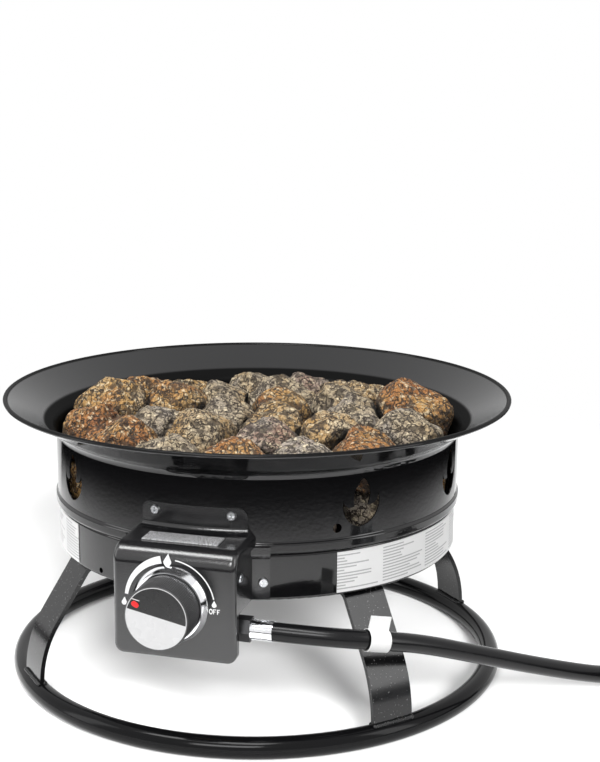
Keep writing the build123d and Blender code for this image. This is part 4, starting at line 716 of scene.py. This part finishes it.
def quad_ball(cuts):
    """Directions and faces of a cube's fine grid blown up to a ball, and its edges."""
    grid = bmesh.new()
    bmesh.ops.create_cube(grid, size=2.0)
    bmesh.ops.subdivide_edges(grid, edges=grid.edges[:], cuts=cuts, use_grid_fill=True)
    grid.verts.index_update()
    corners = np.tan(np.array([tuple(vert.co) for vert in grid.verts]) * math.pi / 4)
    ways = corners / np.linalg.norm(corners, axis=1, keepdims=True)
    faces = np.array([[vert.index for vert in face.verts] for face in grid.faces])
    edges = np.array([[vert.index for vert in edge.verts] for edge in grid.edges])
    grid.free()
    return ways, faces, edges


ball_ways, ball_faces, ball_edges = quad_ball(ball_cuts)
ball_links = np.bincount(ball_edges.ravel(), minlength=len(ball_ways))
print("ball of", len(ball_faces), "quads")

# %% Wrap each stone
stone_nodes = ("lava_stones_lower", "lava_stones_outer", "lava_stones_middle", "lava_stones_centre")
stone_walls = ("fire_bowl", "burner_top", "burner_base", "mixer_tube")
stone_clear = 0.0003
stone_growth = 0.002
stone_near = 0.014
growth_ways = (0.25, 0.75)
double_corner = 1e-6
far_away = 1.0
smoothing_rounds = 7


def merged(name):
    """A solid's triangles with their doubled corners merged."""
    copy = bmesh.new()
    copy.from_mesh(solids[name].data)
    bmesh.ops.remove_doubles(copy, verts=copy.verts[:], dist=double_corner)
    copy.verts.index_update()
    points = np.array([tuple(vert.co) for vert in copy.verts])
    triangles = np.array([[vert.index for vert in face.verts] for face in copy.faces])
    copy.free()
    return points, triangles


def islands(points, triangles):
    """The separate lumps of a mesh, each as its own points and triangles."""
    lump = np.arange(len(points))
    while True:
        lowest = lump[triangles].min(axis=1)
        smaller = lump.copy()
        np.minimum.at(smaller, triangles.ravel(), np.repeat(lowest, 3))
        smaller = smaller[smaller]
        if (smaller == lump).all():
            break
        lump = smaller
    for first in np.unique(lump):
        chosen = np.flatnonzero(lump == first)
        renumber = np.zeros(len(points), int)
        renumber[chosen] = np.arange(len(chosen))
        yield points[chosen], renumber[triangles[lump[triangles[:, 0]] == first]]


def reach_to(tree, start, ways, offsets):
    """How far each ray goes before it meets the tree's surface."""
    found = []
    for way, offset in zip(ways, offsets):
        away = tree.ray_cast(start + Vector(way) * offset, Vector(way))[3]
        found.append(far_away if away is None else away)
    return np.array(found)


stone_meshes = {name: merged(name) for name in stone_nodes}
around_points, around_triangles, offset = [], [], 0
for points, triangles in [*stone_meshes.values(), *[merged(name) for name in stone_walls]]:
    around_points.append(points)
    around_triangles.append(triangles + offset)
    offset += len(points)
around = BVHTree.FromPolygons(np.concatenate(around_points).tolist(), np.concatenate(around_triangles).tolist())

wrapped = {}
for name, (points, triangles) in stone_meshes.items():
    skins = []
    for lump_points, lump_triangles in islands(points, triangles):
        own = BVHTree.FromPolygons(lump_points.tolist(), lump_triangles.tolist())
        middle = Vector((lump_points.min(axis=0) + lump_points.max(axis=0)) / 2)
        reach = reach_to(own, middle, ball_ways, np.zeros(len(ball_ways)))
        room = reach_to(around, middle, ball_ways, reach + stone_clear)
        sideways = np.clip((growth_ways[1] - ball_ways[:, 2]) / (growth_ways[1] - growth_ways[0]), 0.0, 1.0)
        reach = reach + np.clip(room / 2 - stone_clear, 0.0, stone_growth) * sideways
        # How near the neighbours are, kept for the painted shade between the stones
        near = 1.0 - np.clip(room / stone_near, 0.0, 1.0)
        both = np.stack([reach, near], axis=1)
        for _ in range(smoothing_rounds):
            total = np.zeros(both.shape)
            np.add.at(total, ball_edges[:, 0], both[ball_edges[:, 1]])
            np.add.at(total, ball_edges[:, 1], both[ball_edges[:, 0]])
            both = (both + total / ball_links[:, None]) / 2
        skins.append((np.array(middle) + ball_ways * both[:, :1], both[:, 1]))
    wrapped[name] = skins
print({name: len(skins) for name, skins in wrapped.items()}, "stones wrapped")

# %% Finish of the stones
# Painted shade falls only on the stones above this height
painted_shade_heights = (0.204, 0.207)
lava, wire, place = start_finish("lava_stone")
own_tone = wire.node("ShaderNodeAttribute", {"attribute_name": "stone_tone"}, out="Fac")
own_place = wire.node(
    "ShaderNodeVectorMath",
    {"operation": "ADD"},
    {0: place, 1: wire.node("ShaderNodeCombineXYZ", None, {0: own_tone, 1: own_tone * 3.0, 2: own_tone * 7.0})},
)
body_stops = [
    (0.0, (0.2, 0.065, 0.02)),
    (0.2, (0.34, 0.145, 0.04)),
    (0.4, (0.42, 0.25, 0.085)),
    (0.6, (0.38, 0.3, 0.19)),
    (0.8, (0.32, 0.28, 0.235)),
    (1.0, (0.28, 0.17, 0.12)),
]
cloud = grain(own_place, 30.0, 3.0)
body_tone = wire.node("ShaderNodeValToRGB", {"stops": body_stops}, {0: own_tone * 0.8 + cloud * 0.8 - 0.3})
worms = grain(own_place, 150.0, 2.5)
fine_worms = grain(own_place, 340.0, 2.0)
worm = 1.0 - ease(wire.sum("ABSOLUTE", worms - 0.5), 0.015, 0.055)
fine_worm = 1.0 - ease(wire.sum("ABSOLUTE", fine_worms - 0.48), 0.012, 0.05)
hollow = 1.0 - ease(grain(own_place, 110.0, 3.0), 0.38, 0.47)
dark = wire.sum("MAXIMUM", wire.sum("MAXIMUM", worm, fine_worm * 0.6), hollow * 0.85)
crust = ease(grain(own_place, 230.0, 3.0), 0.52, 0.64)
pale = blend(crust * 0.6, body_tone, (0.78, 0.66, 0.45))
near = wire.node("ShaderNodeAttribute", {"attribute_name": "stone_near"}, out="Fac")
height = split(place)[2]
upward = split(wire.node("ShaderNodeNewGeometry", out="Normal"))[2]
turned_away = 1.0 - ease(upward, -0.1, 0.6)
# Painted shade: the upper stones turn dark where neighbours are close and on the sides turned away from above
painted_stone_shade = wire.sum("MAXIMUM", ease(near, 0.15, 0.85) * 0.94, turned_away * 0.6) * ease(height, *painted_shade_heights)
scored = blend(dark * 0.95, pale, (0.02, 0.012, 0.008))
finishes["lava_stone"] = set_finish(
    lava,
    Base_Color=blend(painted_stone_shade, scored, (0.008, 0.006, 0.005)),
    Roughness=0.75,
    Normal=relief(crust * 0.4 - worm * 0.7 - fine_worm * 0.35 - hollow * 0.6, 0.85, 0.002),
)
print("lava stone finish")

# %% Wear the stones down
stone_inputs = {
    "Stones": "Geometry", "Lump Size": "Float", "Lump Depth": "Float", "Pit Size": "Float", "Pit Depth": "Float",
    "Tone From": "Float", "Tone To": "Float", "Seed": "Int",
}
stone_tree, given, stone_keys = start_tree("worn_stones", stone_inputs)
wire = given["Stones"]
island = wire.node("GeometryNodeInputMeshIsland")
lucky = {"ID": island, "Seed": given["Seed"]}
shift = wire.node(
    "FunctionNodeRandomValue", {"data_type": "FLOAT_VECTOR"}, {0: (0.0, 0.0, 0.0), 1: (9.0, 9.0, 9.0), **lucky}
)
tone = wire.node("FunctionNodeRandomValue", None, {2: given["Tone From"], 3: given["Tone To"], **lucky}, out=1)
spot = wire.node("GeometryNodeInputPosition")
spot = wire.node("ShaderNodeVectorMath", {"operation": "ADD"}, {0: spot, 1: shift})
lumps = wire.node("ShaderNodeTexNoise", None, {"Vector": spot, "Scale": 1.0 / given["Lump Size"], "Detail": 3.0})
cells = wire.node("ShaderNodeTexVoronoi", None, {"Vector": spot, "Scale": 1.0 / given["Pit Size"]})
pits = 1.0 - ease(cells, 0.12, 0.5)
wear_and_painted_highlight = (1.0 - ease(lumps, 0.25, 0.75)) * given["Lump Depth"] + pits * given["Pit Depth"]
facing = wire.node("GeometryNodeInputNormal")
inwards = wire.node("ShaderNodeVectorMath", {"operation": "SCALE"}, {0: facing, "Scale": 0.0 - wear_and_painted_highlight})
moved = wire.node("GeometryNodeSetPosition", None, {"Geometry": given["Stones"], "Offset": inwards})
toned = wire.node(
    "GeometryNodeStoreNamedAttribute", {"data_type": "FLOAT", "domain": "POINT"},
    {"Geometry": moved, "Name": "stone_tone", "Value": tone},
)
end_tree(toned, finishes["lava_stone"])

stone_sizes = {
    "Lump Size": 0.022, "Lump Depth": 0.0038, "Pit Size": 0.007, "Pit Depth": 0.0016, "Tone From": 0.0, "Tone To": 1.0,
}
first_seed = 3
for seed, (name, skins) in enumerate(wrapped.items()):
    start = bpy.data.meshes.new(name)
    faces = np.concatenate([ball_faces + index * len(ball_ways) for index in range(len(skins))])
    start.from_pydata(np.concatenate([points for points, near in skins]).tolist(), [], faces.tolist())
    start.polygons.foreach_set("use_smooth", [True] * len(faces))
    shade = start.attributes.new("stone_near", "FLOAT", "POINT")
    shade.data.foreach_set("value", np.concatenate([near for points, near in skins]))
    values = {**stone_sizes, "Seed": first_seed + seed}
    piece = grow(name.replace("lava_", ""), stone_tree, stone_keys, values, "stand", start)
    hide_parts(name)

# %% [markdown]
# ## Marks round the knob
# On the real cover the dial is one white pad print: a band that grows from the low setting to the high one, a thin
# line down to off, a small flame at each setting, and the word OFF. Ink has hardly any height, so each shape is a flat
# outline raised by a tenth of a millimetre and sunk as far into the paint, which leaves no gap below it.

# %% Outlines of the dial
dial_radius = 0.038
dial_front = -0.24012
dial_back = -0.2399
dial_axis = (knob_axis_x, knob_axis_z)
flame_shoulder = 0.35
flame_slimming = 0.82
flame_curve = 0.8
dial_white = start_finish("dial_ink")[0]
set_finish(dial_white, Base_Color=(0.84, 0.84, 0.84), Roughness=0.45)


def arc_band(first, last, half_first, half_last, radius=dial_radius, middle=dial_axis, steps=40, tall=1.0):
    """Outline of a band along an arc, its half width growing from one end to the other."""
    shares = np.linspace(0.0, 1.0, steps)
    turns = np.radians(first + (last - first) * shares)
    halves = half_first + (half_last - half_first) * shares
    sides = []
    for radii, order in ((radius + halves, 1), (radius - halves, -1)):
        side = np.stack([middle[0] + radii * np.cos(turns), middle[1] + radii * np.sin(turns) * tall], axis=1)
        sides.append(side[::order])
    return np.concatenate(sides)


def flame_mark(middle, width, height, lean=0.0, steps=24):
    """Outline of a small flame: round below, drawn to a point above, leaning to one side."""
    turns = np.linspace(-math.pi / 2, 1.5 * math.pi, steps, endpoint=False)
    up = (np.sin(turns) + 1) / 2
    drawn = np.clip((up - flame_shoulder) / (1.0 - flame_shoulder), 0.0, 1.0)
    slim = 1.0 - flame_slimming * drawn**flame_curve
    across = np.cos(turns) * slim * width / 2 + lean * up**2
    return np.stack([middle[0] + across, middle[1] + (up - 0.5) * height], axis=1)


def block_letter(corners, place):
    """Outline of a letter from its corners and the place of its lowest left one."""
    return np.array([(place[0] + x, place[1] + y) for x, y in corners])


letter_size = (0.0025, 0.0042)
stroke = 0.0007
wide, tall = letter_size
letter_f = [
    (0.0, 0.0), (stroke, 0.0), (stroke, 0.4 * tall), (0.75 * wide, 0.4 * tall), (0.75 * wide, 0.4 * tall + stroke),
    (stroke, 0.4 * tall + stroke), (stroke, tall - stroke), (wide, tall - stroke), (wide, tall), (0.0, tall),
]
letter_middles_z = 0.1352
letter_o_x = 0.0322
letter_f_starts = (0.0341, 0.0374)
letter_o_shape = 1.5
letter_o_turns = (-89.0, 269.0)
letter_o_steps = 32
letter_o = arc_band(
    *letter_o_turns, stroke / 2, stroke / 2, wide / 2, (letter_o_x, letter_middles_z), letter_o_steps, letter_o_shape
)

band_turns = (172.0, 101.5)
band_halves = (0.0014, 0.0032)
line_turns = (83.0, 12.0)
line_half = 0.0005
# Each flame's middle, width, height and lean: the low, high and off marks
dial_flames = [
    ((-0.0423, 0.1365), 0.005, 0.007, 0.0006),
    ((-0.0046, 0.175), 0.0074, 0.0107, 0.0009),
    ((0.035, 0.1415), 0.0046, 0.0058, 0.0),
]
dial_outlines = [
    arc_band(*band_turns, *band_halves),
    arc_band(*line_turns, line_half, line_half),
    *[flame_mark(*row) for row in dial_flames],
    letter_o,
    *[block_letter(letter_f, (start_x, letter_middles_z - tall / 2)) for start_x in letter_f_starts],
]
print(len(dial_outlines), "outlines")

# %% Raise the outlines
dial_points, dial_faces = [], []
for outline in dial_outlines:
    area = np.sum(outline[:, 0] * np.roll(outline[:, 1], -1) - outline[:, 1] * np.roll(outline[:, 0], -1))
    outline = outline if area > 0 else outline[::-1]
    count, base = len(outline), len(dial_points)
    dial_points += [(x, dial_front, z) for x, z in outline] + [(x, dial_back, z) for x, z in outline]
    dial_faces.append([base + index for index in range(count)])
    dial_faces.append([base + count + index for index in reversed(range(count))])
    for index in range(count):
        after = (index + 1) % count
        dial_faces.append([base + after, base + index, base + count + index, base + count + after])
dial_mesh = bpy.data.meshes.new("dial_print")
dial_mesh.from_pydata(dial_points, [], dial_faces)
dial_mesh.materials.append(dial_white)
dial = bpy.data.objects.new("dial_print", dial_mesh)
scene.collection.objects.link(dial)
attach(dial, "stand")
print("dial print of", len(dial_faces), "faces")

# %% [markdown]
# ## Ribs of the knob
# The knob's skirt is moulded with fine straight ribs for grip. One rod, tapered as the skirt is, is set on each point
# of a circle round the knob's axis and half sunk into the skirt. The count, radius and length are inputs of the tree.

# %% Knob ribs
rib_inputs = {
    "Count": "Int", "Ring Radius": "Float", "Rib Radius": "Float", "Length": "Float", "Taper": "Float",
    "Middle": "Vector",
}
rib_sides = 6
rib_middle_y = -0.259
rib_tree, given, rib_keys = start_tree("knob_ribs", rib_inputs)
wire = given["Count"]
ring = wire.node(
    "GeometryNodeMeshCircle", {"fill_type": "NONE"}, {"Vertices": given["Count"], "Radius": given["Ring Radius"]}
)
rod = wire.node(
    "GeometryNodeMeshCylinder", {"fill_type": "NGON"},
    {"Vertices": rib_sides, "Radius": given["Rib Radius"], "Depth": given["Length"]},
)
ring_spot = wire.node("GeometryNodeInputPosition")
ring_x, ring_y = split(ring_spot)[:2]
turn = wire.sum("ARCTAN2", ring_y, ring_x)
lean = wire.node("ShaderNodeCombineXYZ", None, {1: 0.0 - given["Taper"], 2: turn})
rods = wire.node("GeometryNodeInstanceOnPoints", None, {"Points": ring, "Instance": rod, "Rotation": lean})
upright = wire.node(
    "GeometryNodeTransform", None,
    {"Geometry": rods, "Translation": given["Middle"], "Rotation": (math.pi / 2, 0.0, 0.0)},
)
end_tree(upright, finishes["knob_plastic"])
grow(
    "knob_ribs", rib_tree, rib_keys,
    {
        "Count": 110, "Ring Radius": 0.02672, "Rib Radius": 0.00055, "Length": 0.0265, "Taper": 0.0143,
        "Middle": (knob_axis_x, rib_middle_y, knob_axis_z),
    },
    "knob",
)

# %% [markdown]
# ## Weld beads
# Each leg stands on the base ring and is welded to it along its inner and outer face. A weld lays down overlapping
# ripples, so a small ball is set along each seam at an even pitch, a little different in size each time.

# %% Weld beads
leg_turns = (47.0, -47.0, 133.0, -133.0)
seam_half = 0.019
seam_radii = (0.2232, 0.2288)
seam_height = 0.0188
bead_segments = 10
bead_rings = 6
seam_points, seam_edges = [], []
for leg_turn in leg_turns:
    out = Vector((math.sin(math.radians(leg_turn)), -math.cos(math.radians(leg_turn)), 0.0))
    along = Vector((-out.y, out.x, 0.0))
    for seam_radius in seam_radii:
        for end in (-seam_half, seam_half):
            seam_points.append(tuple(out * seam_radius + along * end + Vector((0.0, 0.0, seam_height))))
        seam_edges.append((len(seam_points) - 2, len(seam_points) - 1))
seam_mesh = bpy.data.meshes.new("weld_beads")
seam_mesh.from_pydata(seam_points, seam_edges, [])

bead_inputs = {"Seams": "Geometry", "Pitch": "Float", "Bead Radius": "Float", "Unevenness": "Float", "Seed": "Int"}
bead_tree, given, bead_keys = start_tree("weld_beads", bead_inputs)
wire = given["Seams"]
seam_lines = wire.node("GeometryNodeMeshToCurve", None, {"Mesh": given["Seams"]})
bead_spots = wire.node(
    "GeometryNodeCurveToPoints", {"mode": "LENGTH"}, {"Curve": seam_lines, "Length": given["Pitch"]}
)
bead = wire.node(
    "GeometryNodeMeshUVSphere", None,
    {"Segments": bead_segments, "Rings": bead_rings, "Radius": given["Bead Radius"]},
)
bead_smooth = wire.node("GeometryNodeSetShadeSmooth", None, {"Geometry": bead})
bead_size = wire.node(
    "FunctionNodeRandomValue", None,
    {2: 1.0 - given["Unevenness"], 3: 1.0 + given["Unevenness"], "Seed": given["Seed"]}, out=1,
)
beads = wire.node(
    "GeometryNodeInstanceOnPoints", None, {"Points": bead_spots, "Instance": bead_smooth, "Scale": bead_size}
)
end_tree(beads, finishes["leg_paint"])
grow(
    "weld_beads", bead_tree, bead_keys,
    {"Pitch": 0.0024, "Bead Radius": 0.0021, "Unevenness": 0.15, "Seed": 5}, "stand", seam_mesh,
)

# %% [markdown]
# ## The valve's spring
# The knob is pushed against a spring inside the valve. A rigid spring would cut into the stem, so a copy of its solid
# stands for it on the valve plug. The share of its length that the knob's travel at the end of the push leaves is
# worked out; the copy itself is not flattened here.

# %% Spring copy and the length it keeps
spring_low, spring_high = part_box("valve_spring")
push_travel = next(joint["range_m"][1] for joint in frame["joints"] if joint["name"] == "knob_push")
spring_keep = 1.0 - push_travel / (spring_high.y - spring_low.y)
spring = bpy.data.objects.new("valve_spring_coil", solids["valve_spring"].data.copy())
scene.collection.objects.link(spring)
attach(spring, "valve_plug")
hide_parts("valve_spring")
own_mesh(spring)
print("spring keeps", round(spring_keep, 3), "of its length when the knob is pushed")
